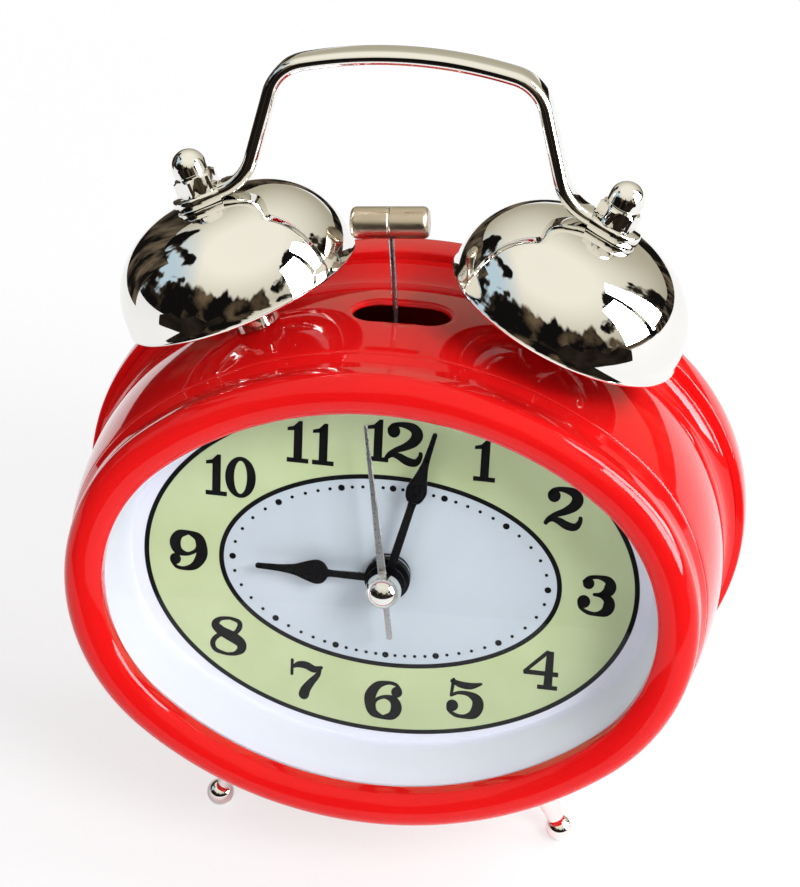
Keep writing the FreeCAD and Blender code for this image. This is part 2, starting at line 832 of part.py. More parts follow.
SECOND_PIPE = s.shaft_radius
MINUTE_PIPE = s.minute_bore_radius + s.minute_pipe_wall
HOUR_PIPE = MINUTE_PIPE + s.pipe_play + s.pipe_wall
ALARM_PIPE = HOUR_PIPE + s.pipe_play + s.pipe_wall


def movement():
    """The sealed quartz movement, with the bush that carries the hand pipes."""
    body = new_body("movement")
    half = s.movement_side / 2
    top = PIVOT_HEIGHT - s.strip_drop - s.movement_room
    flat = half - s.movement_corner
    case = front_sketch(body, "case", MOVEMENT_FRONT)
    corner = s.movement_corner
    draw_path(case, [
        (-flat, -half), (flat, -half, corner, 1), (half, -flat), (half, top - corner, corner, 1),
        (flat, top), (-flat, top, corner, 1), (-half, top - corner), (-half, -flat, corner, 1)])
    pad_back(body, case, s.movement_depth)
    bush = front_sketch(body, "bush", -s.bush_front)
    draw_circle(bush, 0, 0, s.bush_radius)
    pad_back(body, bush, s.bush_front + MOVEMENT_FRONT + 1)
    bore = front_sketch(body, "bore", -s.bush_front - 1)
    draw_circle(bore, 0, 0, ALARM_PIPE + s.pipe_play)
    cut_back(body, bore, s.bush_front + 1 + s.pipe_root + s.pipe_step * 3 + s.fit)
    stems = front_sketch(body, "stem_bores", MOVEMENT_REAR - s.pipe_root - s.fit)
    for across in KNOBS.values():
        draw_circle(stems, across, s.knob_height, s.knob_stem_radius + s.pipe_play)
    cut_back(body, stems, s.pipe_root + 2)
    threads = front_sketch(body, "screw_bores", MOVEMENT_REAR - s.screw_grip - s.fit)
    for x, z in BOSSES:
        draw_circle(threads, x, z + s.case_rise, s.screw_radius + s.pipe_play)
    cut_back(body, threads, s.screw_grip + 2)


def pipe(name, radius, bore, front, rear):
    body = new_body(name)
    section = new_sketch(body, "XY_Plane", "section")
    draw_path(section, [(bore, -front), (radius, -front), (radius, rear), (bore, rear)])
    turn(body, section)


def hand_pipes():
    blade = s.blade_thickness
    pipe("alarm_pipe", ALARM_PIPE, ALARM_PIPE - s.pipe_wall, s.alarm_hand_front, s.pipe_root)
    pipe("hour_pipe", HOUR_PIPE, HOUR_PIPE - s.pipe_wall, s.hour_hand_front,
         s.pipe_root + s.pipe_step)
    pipe("minute_pipe", MINUTE_PIPE, s.minute_bore_radius, s.minute_hand_front,
         s.pipe_root + s.pipe_step * 2)
    pipe("second_shaft", SECOND_PIPE, Size.of(0), s.second_hand_front,
         s.pipe_root + s.pipe_step * 3)


def hand(name, front, hub, bore, angle, blade_points):
    """A flat hand drawn pointing up, with the hub that is pressed on its pipe."""
    body = new_body(name)
    disc = front_sketch(body, "hub", -front)
    draw_circle(disc, 0, 0, hub)
    pad_back(body, disc, s.blade_thickness)
    blade = front_sketch(body, "blade", -front)
    draw_path(blade, blade_points)
    pad_back(body, blade, s.blade_thickness)
    hole = front_sketch(body, "bore", -front - 1)
    draw_circle(hole, 0, 0, bore)
    cut_back(body, hole, s.blade_thickness + 2)
    body.Placement = Placement(Vector(), Rotation(Vector(0, 1, 0), angle.value))
    return body


def spade_points(start, spade_at, length):
    """Half a spade blade on each side of the hand's own line."""
    stem = s.stem_half_width
    wide = s.spade_half_width
    shoulder = spade_at - wide * 2
    narrow = s.spade_tip_half_width
    waist = spade_at + wide * 1.6
    right = [(stem, start), (stem, shoulder, wide * 3, -1), (wide, spade_at, wide * 2, 1),
             (wide / 2, waist), (narrow, length)]
    left = [(-narrow, length), (-wide / 2, waist, wide * 2, 1), (-wide, spade_at, wide * 3, -1),
            (-stem, shoulder), (-stem, start)]
    return right + left


def hands():
    tip = s.second_tip_half_width
    hand("alarm_hand", s.alarm_hand_front, s.hub_radius, ALARM_PIPE, s.alarm_angle, [
        (s.stem_half_width, 0), (tip, s.alarm_hand_length), (-tip, s.alarm_hand_length),
        (-s.stem_half_width, 0)])
    hand("hour_hand", s.hour_hand_front, s.hub_radius, HOUR_PIPE, s.hour_angle,
         spade_points(HOUR_PIPE, s.hour_spade_at, s.hour_hand_length))
    hand("minute_hand", s.minute_hand_front, s.minute_hub_radius, MINUTE_PIPE, s.minute_angle,
         spade_points(MINUTE_PIPE, s.minute_spade_at, s.minute_hand_length))
    wide = s.second_hub_half_width
    hand("second_hand", s.second_hand_front, s.cap_radius / 2, SECOND_PIPE, s.second_angle, [
        (wide, 0), (tip, s.second_hand_length), (-tip, s.second_hand_length), (-wide, 0),
        (-wide * 0.7, -s.second_tail_length), (wide * 0.7, -s.second_tail_length)])
    cap = new_body("second_hand_cap")
    section = new_sketch(cap, "XY_Plane", "section")
    base = -s.second_hand_front
    dome = (s.cap_radius * s.cap_radius + s.cap_height * s.cap_height) / (s.cap_height * 2)
    draw_path(section, [(0, base), (0, base - s.cap_height, dome, 1), (s.cap_radius, base)])
    turn(cap, section)


# Bells and the posts that carry them and the handle

def axis_run(across, up, tilt, growth):
    """From a point above the case, the way down a leaning axis to the oval's long arc."""
    height = up + TOP_CENTRE
    radius = TOP_RADIUS + growth
    aside = across * cosine(tilt) - height * sine(tilt)
    return (across * sine(tilt) + height * cosine(tilt)
            - root(radius * radius - aside * aside))


def bell_run(growth):
    return axis_run(s.bell_across, BELL_HEIGHT - s.case_rise, s.bell_tilt, growth)


def bell_crown():
    """Radius of the crown's arc, and the height of its centre over the rim."""
    across = s.bell_radius - s.bell_shoulder
    rise = s.bell_depth - s.bell_skirt
    crown = (across * across + rise * rise - s.bell_shoulder * s.bell_shoulder) / (
        (rise - s.bell_shoulder) * 2)
    return crown, s.bell_depth - crown


def bell_underside(across):
    """Height of the crown's inner face, at a distance from the bell's axis."""
    crown, centre = bell_crown()
    inside = crown - s.bell_wall
    return centre + root(inside * inside - across * across)


def bell_section():
    """Two joined arcs and a short skirt, followed inside at the sheet's thickness."""
    crown, centre = bell_crown()
    lean = (s.bell_radius - s.bell_shoulder) / (crown - s.bell_shoulder)
    upright = root(1 - lean * lean)
    hole = s.post_radius + s.post_play

    def join(radius):
        return radius * lean, centre + radius * upright

    def crown_edge(radius):
        return hole, centre + root(radius * radius - hole * hole)

    inside = crown - s.bell_wall
    shoulder = s.bell_shoulder - s.bell_wall
    return [
        crown_edge(crown) + (crown, -1),
        join(crown) + (s.bell_shoulder, -1),
        (s.bell_radius, s.bell_skirt), (s.bell_radius, 0),
        (s.bell_radius - s.bell_wall, 0),
        (s.bell_radius - s.bell_wall, s.bell_skirt, shoulder, 1),
        join(inside) + (inside, 1),
        crown_edge(inside)]


def hexagon(sketch, flats):
    """A regular hexagon about the sketch's origin, given across its flats."""
    half = flats / 2
    tip = flats / root(Size.of(3))
    return draw_path(sketch, [(tip, 0), (tip / 2, half), (-tip / 2, half), (-tip, 0),
                              (-tip / 2, -half), (tip / 2, -half)])


def bell_stack(label, side):
    """Bell, spacer tube, threaded post, cap nut and lock nut on one leaning axis."""
    made = []

    bell = new_body("bell_" + label)
    made.append(bell)
    section = new_sketch(bell, "XZ_Plane", "section")
    draw_path(section, bell_section())
    turn(bell, section)

    spacer = new_body("bell_spacer_" + label)
    made.append(spacer)
    tube = new_sketch(spacer, "XZ_Plane", "section")
    bore = s.post_radius + s.post_play
    foot = s.seat_gap - bell_run(0)
    top = bell_underside(s.spacer_radius) - s.seat_gap / 2
    draw_path(tube, [(bore, foot), (s.spacer_radius, foot), (s.spacer_radius, top), (bore, top)])
    turn(spacer, tube)

    post = new_body("bell_post_" + label)
    made.append(post)
    rod = new_sketch(post, "XZ_Plane", "section")
    tab_top = -bell_run(-s.case_wall) - s.tab_gap
    low = tab_top - s.bracket_plate - s.nut_height - s.seat_gap * 4
    high = s.bell_depth + s.foot_pad_thickness + s.acorn_bore - s.seat_gap
    draw_path(rod, [(0, low), (s.post_radius, low), (s.post_radius, high), (0, high)])
    turn(post, rod)

    nut = new_body("cap_nut_" + label)
    made.append(nut)
    seat = s.bell_depth + s.foot_pad_thickness
    base = new_sketch(nut, "XY_Plane", "hexagon", Placement(Vector(0, 0, seat.value), Rotation()))
    hexagon(base, s.nut_flats)
    feature(nut, "Pad", base, s.nut_height)
    dome = new_sketch(nut, "XZ_Plane", "dome")
    straight = seat + s.acorn_height - s.acorn_dome_radius
    draw_path(dome, [
        (0, seat + s.nut_height / 2), (s.acorn_dome_radius, seat + s.nut_height / 2),
        (s.acorn_dome_radius, straight, s.acorn_dome_radius, 1), (0, seat + s.acorn_height)])
    turn(nut, dome)
    thread = new_sketch(nut, "XY_Plane", "thread",
                        Placement(Vector(0, 0, seat.value - 1), Rotation()))
    draw_circle(thread, 0, 0, s.post_radius + s.pipe_play / 2)
    feature(nut, "Pocket", thread, s.acorn_bore + 1, Reversed=True)

    lock = new_body("lock_nut_" + label)
    made.append(lock)
    under = new_sketch(lock, "XY_Plane", "hexagon", Placement(
        Vector(0, 0, (tab_top - s.bracket_plate - s.nut_height).value), Rotation()))
    hexagon(under, s.nut_flats)
    feature(lock, "Pad", under, s.nut_height)
    thread = new_sketch(lock, "XY_Plane", "thread", Placement(
        Vector(0, 0, (tab_top - s.bracket_plate - s.nut_height - 1).value), Rotation()))
    draw_circle(thread, 0, 0, s.post_radius + s.pipe_play / 2)
    feature(lock, "Pocket", thread, s.nut_height + 2, Reversed=True)
    for body in made:
        body.Placement = IN_CASE.multiply(post_side(side))


def handle():
    """A bent strip: crown arc, two corners, two legs and flat feet under the cap nuts."""
    body = new_body("handle")
    leg, tilt = s.handle_leg_angle, s.bell_tilt
    top = HANDLE_TOP - s.handle_thickness / 2
    crown_centre = top - s.handle_top_radius
    reach = s.handle_top_radius - s.handle_corner_radius
    corner_x = s.handle_corner_across
    corner_rise = root(reach * reach - corner_x * corner_x)
    corner_z = crown_centre + corner_rise
    first = (corner_x * s.handle_top_radius / reach,
             crown_centre + corner_rise * s.handle_top_radius / reach)
    second = (corner_x + s.handle_corner_radius * cosine(leg),
              corner_z + s.handle_corner_radius * sine(leg))
    bend = s.handle_bend_radius
    height = s.bell_depth + s.handle_thickness / 2
    above = ((second[0] - s.bell_across) * sine(tilt)
             + (second[1] - BELL_HEIGHT) * cosine(tilt))
    run = (above - height - bend * (1 - sine(leg + tilt))) / cosine(leg + tilt)
    third = (second[0] + run * sine(leg), second[1] - run * cosine(leg))
    bend_x = third[0] + bend * cosine(leg)
    bend_z = third[1] + bend * sine(leg)
    fourth = (bend_x - bend * sine(tilt), bend_z - bend * cosine(tilt))
    path = new_sketch(body, "XZ_Plane", "centre_line")
    draw_path(path, [(0, top, s.handle_top_radius, -1), first + (s.handle_corner_radius, -1),
                     second, third + (bend, 1), fourth], closed=False)
    section = new_sketch(body, "YZ_Plane", "section")
    half = s.handle_width / 2
    draw_path(section, [
        (-half, top - s.handle_thickness / 2), (half, top - s.handle_thickness / 2),
        (half, top + s.handle_thickness / 2), (-half, top + s.handle_thickness / 2)])
    sweep = body.newObject("PartDesign::AdditivePipe", "handle_bar")
    sweep.Profile = section
    sweep.Spine = path
    body.Tip = sweep
    doc.recompute()
    pad_place = Placement(
        Vector(s.bell_across.value, 0, BELL_HEIGHT.value),
        Rotation(Vector(0, 1, 0), tilt.value)).multiply(
            Placement(Vector(0, 0, s.bell_depth.value), Rotation()))
    foot = new_sketch(body, "XY_Plane", "foot_pad", pad_place)
    back = (fourth[0] - s.bell_across) * cosine(tilt) - (
        fourth[1] - BELL_HEIGHT) * sine(tilt)
    wide = s.foot_pad_width / 2
    end = s.foot_pad_end - wide
    draw_path(foot, [(end, -wide, wide, 1), (end, wide), (back + wide, wide),
                     (back, half), (back, -half), (back + wide, -wide)])
    pad = feature(body, "Pad", foot, s.foot_pad_thickness)
    hole = new_sketch(body, "XY_Plane", "foot_hole", pad_place.multiply(
        Placement(Vector(0, 0, -1), Rotation())))
    draw_circle(hole, 0, 0, s.post_radius + s.post_play)
    cut = feature(body, "Pocket", hole, s.foot_pad_thickness + 2, Reversed=True)
    mirror = body.newObject("PartDesign::Mirrored", "handle_other_half")
    mirror.Originals = [sweep, pad, cut]
    mirror.MirrorPlane = (plane_of(body, "YZ_Plane"), [""])
    body.Tip = mirror
    body.Placement = Placement(Vector(0, s.middle_depth.value, 0), Rotation())


# Hammer and its electromagnet

def hammer_place():
    return Placement(Vector(0, s.middle_depth.value, PIVOT_HEIGHT.value),
                     Rotation(Vector(0, 1, 0), -s.hammer_lean.value))


def hammer():
    head = new_body("hammer_head")
    half = s.hammer_length / 2
    edge = s.hammer_chamfer
    section = new_sketch(head, "XZ_Plane", "section",
                         Placement(Vector(0, s.hammer_reach.value, 0), Rotation()))
    draw_path(section, [
        (-half, 0), (half, 0), (half, s.hammer_radius - edge), (half - edge, s.hammer_radius),
        (edge - half, s.hammer_radius), (-half, s.hammer_radius - edge)])
    turn(head, section, "H_Axis")
    hole = new_sketch(head, "XY_Plane", "arm_hole", Placement(
        Vector(0, 0, (s.hammer_reach + s.hammer_radius + 1).value), Rotation()))
    draw_circle(hole, 0, 0, s.arm_radius + s.pipe_play / 2)
    feature(head, "Pocket", hole, s.hammer_radius * 2 + 2)

    arm = new_body("hammer_arm")
    start = s.lever_height - s.arm_socket
    wire = new_sketch(arm, "XY_Plane", "section",
                      Placement(Vector(0, 0, start.value), Rotation()))
    draw_circle(wire, 0, 0, s.arm_radius)
    feature(arm, "Pad", wire, s.hammer_reach + s.hammer_radius - start)

    lever = new_body("hammer_lever")
    barrel = front_sketch(lever, "barrel", -s.lever_width / 2)
    draw_circle(barrel, 0, 0, s.barrel_radius_out)
    pad_back(lever, barrel, s.lever_width)
    plate = front_sketch(lever, "plate", -s.lever_width / 2)
    draw_box(plate, -s.lever_thickness / 2, 0, s.lever_thickness / 2, s.lever_height)
    pad_back(lever, plate, s.lever_width)
    boss = front_sketch(lever, "boss", -s.lever_boss / 2)
    draw_box(boss, -s.lever_boss / 2, start - 1, s.lever_boss / 2, s.lever_height)
    pad_back(lever, boss, s.lever_boss)
    bore = front_sketch(lever, "pivot_bore", -s.lever_width / 2 - 1)
    draw_circle(bore, 0, 0, s.pin_radius + s.pipe_play)
    cut_back(lever, bore, s.lever_width + 2)
    socket = new_sketch(lever, "XY_Plane", "arm_socket",
                        Placement(Vector(0, 0, s.lever_height.value + 1), Rotation()))
    draw_circle(socket, 0, 0, s.arm_radius + s.pipe_play / 2)
    feature(lever, "Pocket", socket, s.arm_socket + 1)
    for body in (head, arm, lever):
        body.Placement = hammer_place()


def striker():
    """The pressed frame between the two bell posts, with the pin, coil and core."""
    tilt = s.bell_tilt
    plate_y = s.bracket_depth / 2
    frame = new_body("striker_frame")
    top = -bell_run(-s.case_wall) - s.tab_gap
    low = top - s.bracket_plate
    half = s.bracket_tab / 2
    bell_z = BELL_HEIGHT - PIVOT_HEIGHT

    def on_tab(along, up):
        return (s.bell_across + up * sine(tilt) + along * cosine(tilt),
                bell_z + up * cosine(tilt) - along * sine(tilt))

    strip_top = s.bracket_plate - s.strip_drop
    shoulder = s.core_height
    right = [(s.yoke_end, -s.strip_drop), on_tab(half, low), on_tab(half, top),
             on_tab(-half, top), (s.bracket_half_width, shoulder)]
    left = [(-x, z) for x, z in reversed(right[1:])]
    back = front_sketch(frame, "back_plate", plate_y)
    draw_path(back, right + left + [(-s.bracket_half_width, -s.strip_drop)])
    pad_back(frame, back, s.bracket_plate)
    for side in (-1, 1):
        tab = front_sketch(frame, "tab_{}".format("left" if side < 0 else "right"),
                           -s.bracket_tab / 2)
        corners = [on_tab(-half, low), on_tab(half, low), on_tab(half, top), on_tab(-half, top)]
        draw_path(tab, [(x * side, z) for x, z in corners])
        pad_back(frame, tab, s.bracket_tab / 2 + plate_y + s.bracket_plate)
    strip = front_sketch(frame, "strip", -plate_y)
    draw_box(strip, -s.barrel_radius_out * 2, -s.strip_drop, s.yoke_end, strip_top)
    pad_back(frame, strip, s.bracket_depth)
    upright = front_sketch(frame, "upright", -s.lever_width / 2)
    draw_box(upright, s.yoke_end - s.bracket_plate, strip_top, s.yoke_end,
             s.core_height + s.core_radius * 1.5)
    pad_back(frame, upright, plate_y + s.lever_width / 2)
    ear = front_sketch(frame, "ear", -plate_y)
    draw_box(ear, -s.barrel_radius_out, strip_top, s.barrel_radius_out, s.barrel_radius_out)
    pad_back(frame, ear, s.bracket_plate / 2)
    pin_hole = front_sketch(frame, "pin_hole", -plate_y - 1)
    draw_circle(pin_hole, 0, 0, s.pin_radius + s.pipe_play / 2)
    cut_back(frame, pin_hole, s.bracket_depth + s.bracket_plate + 2)
    core_hole = new_sketch(frame, "YZ_Plane", "core_hole", Placement(
        Vector(0, 0, (s.yoke_end + 1).value), Rotation()))
    draw_circle(core_hole, 0, s.core_height, s.core_radius + s.pipe_play / 2)
    feature(frame, "Pocket", core_hole, s.bracket_plate + 2)
    for side in (-1, 1):
        place = Placement(Vector(side * s.bell_across.value, 0, bell_z.value),
                          Rotation(Vector(0, 1, 0), side * tilt.value)).multiply(
                              Placement(Vector(0, 0, top.value + 1), Rotation()))
        hole = new_sketch(frame, "XY_Plane",
                          "post_hole_{}".format("left" if side < 0 else "right"), place)
        draw_circle(hole, 0, 0, s.post_radius + s.post_play)
        feature(frame, "Pocket", hole, s.bracket_plate + 2)

    pin = new_body("pivot_pin")
    rod = front_sketch(pin, "rod", -plate_y - s.fit)
    draw_circle(rod, 0, 0, s.pin_radius)
    pad_back(pin, rod, s.bracket_depth + s.bracket_plate + s.fit * 2)

    def along_core(name, outline):
        body = new_body(name)
        section = new_sketch(body, "XZ_Plane", "section")
        draw_path(section, outline)
        turn(body, section, "H_Axis")
        return body

    end = s.yoke_end - s.bracket_plate - s.fit
    bore = s.core_radius + s.pipe_play / 2
    tube = s.core_radius + s.bobbin_wall
    core = along_core("coil_core", [
        (s.core_start, 0), (s.yoke_end, 0), (s.yoke_end, s.core_radius),
        (s.core_start, s.core_radius)])
    bobbin = along_core("coil_bobbin", [
        (s.coil_start, bore), (end, bore), (end, s.coil_flange_radius),
        (end - s.coil_flange, s.coil_flange_radius), (end - s.coil_flange, tube),
        (s.coil_start + s.coil_flange, tube),
        (s.coil_start + s.coil_flange, s.coil_flange_radius),
        (s.coil_start, s.coil_flange_radius)])
    start = s.coil_start + s.coil_flange
    winding = along_core("coil_winding", [
        (start, tube), (end - s.coil_flange, tube), (end - s.coil_flange, s.winding_radius),
        (start, s.winding_radius)])
    centre = Placement(Vector(0, s.middle_depth.value, PIVOT_HEIGHT.value), Rotation())
    frame.Placement = centre
    pin.Placement = centre
    for body in (core, bobbin, winding):
        body.Placement = centre.multiply(
            Placement(Vector(0, 0, s.core_height.value), Rotation()))


# Feet and the lean that they give the clock

def lean_angle():
    """The lean in degrees that puts both balls and the back cover's rim on one plane."""
    depth = (s.rim_rear - s.rim_round - s.foot_depth).value
    rim_centre = (s.case_half_height + s.rim_step - s.rim_round - s.case_rise).value
    rise = FOOT_DROP.value - rim_centre
    ball = (s.foot_ball_radius - s.foot_flat).value
    rim = (s.rim_round - s.rim_flat).value
    return math.degrees(math.atan2(rise, depth) + math.asin((ball - rim) / math.hypot(rise, depth)))


def foot(label, side):
    """A turned peg that narrows to a ball, with the spigot that enters the case."""
    body = new_body("foot_" + label)
    section = new_sketch(body, "XZ_Plane", "section")
    ball, neck = s.foot_ball_radius, s.foot_neck_radius
    top = axis_run(s.foot_across, FOOT_DROP + s.case_rise, s.foot_tilt, 0) - s.seat_gap
    inside = top + s.case_wall + s.seat_gap * 2 + 2
    draw_path(section, [
        (0, -ball, ball, 1),
        (neck, root(ball * ball - neck * neck)),
        (s.foot_top_radius, top),
        (s.foot_spigot_radius, top),
        (s.foot_spigot_radius, inside),
        (0, inside)])
    turn(body, section)
    body.Placement = IN_CASE.multiply(leg_side(side))
    ground_cut(body, body.Placement, side * s.foot_across, 0, ball * 2)


def ground_cut(body, place, across, depth, radius):
    """Takes off what would reach below the plane that the clock stands on."""
    flat = new_sketch(body, "XY_Plane", "ground_flat", place.inverse().multiply(ground_place()))
    draw_circle(flat, across, depth, radius)
    feature(body, "Pocket", flat, s.foot_ball_radius * 2)


def ground_place():
    """The plane the clock stands on, seen in the clock's own frame, its normal up."""
    lean = Rotation(Vector(1, 0, 0), lean_angle())
    up = lean.multVec(Vector(0, 0, 1))
    ball = Vector(0, s.foot_depth.value, -FOOT_DROP.value)
    return Placement(ball - up * (s.foot_ball_radius - s.foot_flat).value, lean)


# The whole clock

def build_all():
    bezel()
    lens()
    dial_surround()
    dial()
    case_shell()
    back_cover()
    battery_door()
    battery()
    battery_contacts()
    case_screws()
    control_knobs()
    alarm_switch()
    movement()
    hand_pipes()
    hands()
    for label, side in SIDES:
        bell_stack(label, side)
        foot(label, side)
    handle()
    hammer()
    striker()
    doc.recompute()


def stand_up():
    """Leans every piece back and puts the middle of the footprint at the origin."""
    lean = Placement(Vector(), Rotation(Vector(1, 0, 0), -lean_angle()))
    for piece in pieces:
        piece.Placement = lean.multiply(piece.Placement)
    doc.recompute()
    whole = Part.makeCompound([piece.Shape for piece in pieces]).optimalBoundingBox()
    shift = Vector(-(whole.XMin + whole.XMax) / 2, -(whole.YMin + whole.YMax) / 2, -whole.ZMin)
    for piece in pieces:
        piece.Placement = Placement(shift, Rotation()).multiply(piece.Placement)
    doc.recompute()
    return Placement(shift, Rotation()).multiply(lean)


def check_pieces():
    failed = [thing.Name for thing in doc.Objects
              if "Invalid" in thing.State or "Error" in thing.State]
    failed += [piece.Label for piece in pieces
               if piece.Shape.isNull() or not piece.Shape.isValid() or not piece.Shape.Solids]
    if failed:
        raise RuntimeError("failed features or shapes: " + ", ".join(failed))


def write_pieces():
    os.makedirs("parts", exist_ok=True)
    for piece in pieces:
        piece.Shape.exportStep("parts/{}.step".format(piece.Label))


build_all()
stand = stand_up()
check_pieces()
write_pieces()
print("lean {:.4f} degrees, hand shaft at {:.4f}, {:.4f}, {:.4f}".format(
    lean_angle(), *stand.Base))
print("{} pieces, {} solids".format(
    len(pieces), sum(len(piece.Shape.Solids) for piece in pieces)))
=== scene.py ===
"""Twin bell alarm clock: the pieces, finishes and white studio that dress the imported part.

Shapes are drawn in millimetres in the clock's own frame, whose origin is on the hands' shaft at the
dial's face: x to the right, y towards the back and z up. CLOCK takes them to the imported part's place.
"""
import json
from math import asin, atan2, cos, hypot, pi, radians, remainder, sin, sqrt, tan, tau

import bmesh
import bpy
from bpy.props import FloatProperty, FloatVectorProperty, IntProperty, PointerProperty
from bpy.types import Operator, Panel, PropertyGroup
from mathutils import Matrix, Vector


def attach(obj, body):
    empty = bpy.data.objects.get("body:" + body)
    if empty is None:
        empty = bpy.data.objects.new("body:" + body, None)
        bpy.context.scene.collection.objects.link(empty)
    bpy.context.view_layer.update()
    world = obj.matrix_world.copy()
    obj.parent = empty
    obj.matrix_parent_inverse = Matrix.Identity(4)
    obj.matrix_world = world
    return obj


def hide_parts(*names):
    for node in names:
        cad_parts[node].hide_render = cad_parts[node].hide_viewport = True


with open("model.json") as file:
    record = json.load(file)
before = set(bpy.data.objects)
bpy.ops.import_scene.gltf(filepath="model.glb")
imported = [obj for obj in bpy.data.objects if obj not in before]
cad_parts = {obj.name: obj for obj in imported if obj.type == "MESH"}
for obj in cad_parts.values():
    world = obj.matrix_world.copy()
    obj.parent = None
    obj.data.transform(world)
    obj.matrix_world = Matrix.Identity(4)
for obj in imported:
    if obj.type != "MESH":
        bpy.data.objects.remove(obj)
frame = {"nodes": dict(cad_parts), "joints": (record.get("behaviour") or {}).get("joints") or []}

bl_info = {
    "name": "Twin bell alarm clock",
    "version": (1, 0, 0),
    "blender": (4, 5, 0),
    "location": "3D View > Sidebar > Clock",
    "description": "Builds the clock's visible pieces and its studio on the packed part",
    "category": "Object",
}

MM = 0.001
SHAFT = next(joint for joint in frame["joints"] if joint["name"] == "hour_hand_turn")
LEAN = atan2(abs(SHAFT["axis"][2]), abs(SHAFT["axis"][1]))


def move(x=0.0, y=0.0, z=0.0):
    return Matrix.Translation((x, y, z))


def about(axis, angle):
    """A turn about one axis, in radians."""
    return Matrix.Rotation(angle, 4, axis)


CLOCK = move(*SHAFT["pos_m"]) @ about("X", -LEAN) @ Matrix.Scale(MM, 4)


# Settings

def length(name, value, description):
    """A length that is given here in millimetres and kept in metres."""
    return FloatProperty(name=name, description=description, default=value * MM, unit="LENGTH",
                         subtype="DISTANCE", precision=5)


def turn(name, value, description):
    return FloatProperty(name=name, description=description, default=radians(value),
                         unit="ROTATION", subtype="ANGLE")


def count(name, value, description):
    return IntProperty(name=name, description=description, default=value, min=1)


class CaseSettings(PropertyGroup):
    half_width: length("Half width", 60.2, "Half the case's width at the middle of its band")
    half_height: length("Half height", 48.2, "Half the case's height at the middle of its band")
    end_radius: length("End radius", 41.35, "Radius of the oval's two end arcs")
    top_radius: length("Top radius", 70.7, "Radius of the oval's long arcs, above and below")
    rise: length("Rise", 0.6, "How far the oval's centre is above the hands' shaft")
    wall: length("Wall", 1.8, "Thickness of the moulded case")
    edge_round: length("Edge round", 0.6, "Radius of the moulded edges along the seams")
    bead_inset: length("Bead inset", 6.5, "From the oval in to the middle of the bezel's bead")
    bead_radius: length("Bead radius", 3.5, "Radius of the bezel's bead")
    bead_front: length("Bead front", 14.0, "From the dial forward to the bead's centre")
    slot_length: length("Slot length", 18.0, "Length of the hammer's slot")
    slot_width: length("Slot width", 9.5, "Width of the hammer's slot")


class DialSettings(PropertyGroup):
    outer_across: length("Outer ring across", 45.4, "Half width of the outer printed ring")
    outer_up: length("Outer ring up", 33.4, "Half height of the outer printed ring")
    inner_across: length("Inner ring across", 31.3, "Half width of the inner printed ring")
    inner_up: length("Inner ring up", 19.3, "Half height of the inner printed ring")
    line: length("Ring line", 0.9, "Width of the two printed rings")
    turned: turn("Print turned", 1.0, "How far the print is turned clockwise on the card")
    numeral_across: length("Numerals across", 38.0, "Half width of the oval of the numerals")
    numeral_up: length("Numerals up", 26.95, "Half height of the oval of the numerals")
    numeral_height: length("Numeral height", 8.3, "Height of the numerals")
    numeral_narrow: FloatProperty(name="Numeral width", default=0.9,
                                  description="Width of the numerals against the drawn face")
    dots_across: length("Dots across", 29.2, "Half width of the oval of the minute dots")
    dots_up: length("Dots up", 17.2, "Half height of the oval of the minute dots")
    dot: length("Dot", 0.32, "Radius of the minute dots")
    hour_dot: length("Hour dot", 0.62, "Radius of each fifth dot")


class HandSettings(PropertyGroup):
    hour_angle: turn("Hour hand", 271.0, "The hour hand, clockwise from twelve")
    minute_angle: turn("Minute hand", 14.9, "The minute hand, clockwise from twelve")
    second_angle: turn("Second hand", 352.8, "The second hand, clockwise from twelve")
    thickness: length("Thickness", 0.4, "Thickness of the pressed hands")


class BellSettings(PropertyGroup):
    across: length("Across", 28.7, "From the middle to each bell's rim centre")
    rise: length("Rise", 50.4, "From the shaft up to each bell's rim centre")
    tilt: turn("Tilt", 23.4, "How far each bell leans outwards")
    radius: length("Radius", 21.6, "Outer radius of a bell")
    depth: length("Depth", 17.6, "Height of a bell over its rim")
    skirt: length("Skirt", 2.3, "Height of the straight skirt")
    shoulder: length("Shoulder", 14.8, "Radius of the shoulder's arc")
    wall: length("Wall", 1.0, "Thickness of the bell's sheet")
    middle: length("Middle", 7.2, "From the dial back to the bells, the handle and the hammer")


class HandleSettings(PropertyGroup):
    top: length("Top", 96.75, "From the shaft up to the handle's top")
    top_radius: length("Top radius", 78.0, "Radius of the crown's arc")
    corner_across: length("Corner across", 16.6, "From the middle to a corner arc's centre")
    corner_radius: length("Corner radius", 7.5, "Radius of the two corner arcs")
    leg: turn("Leg angle", 14.5, "How far each leg leans from upright")
    bend_radius: length("Bend radius", 9.5, "Radius of the bend above each foot pad")
    width: length("Width", 5.6, "Width of the strip")
    thickness: length("Thickness", 2.5, "Thickness of the strip")
    edge_round: length("Edge round", 1.15, "Radius of the strip's long edges")


class ControlSettings(PropertyGroup):
    knob_radius: length("Knob radius", 5.5, "Outer radius of a setting knob")
    ribs: count("Ribs", 30, "Number of grip ribs around a knob")
    foot_across: length("Foot across", 33.4, "From the middle to a foot's ball")
    foot_drop: length("Foot drop", 56.2, "From the shaft down to a foot's ball")
    foot_depth: length("Foot depth", 8.0, "From the dial back to the feet")
    foot_tilt: turn("Foot tilt", 22.8, "How far each foot leans outwards")
    ball: length("Ball", 2.6, "Radius of a foot's ball")


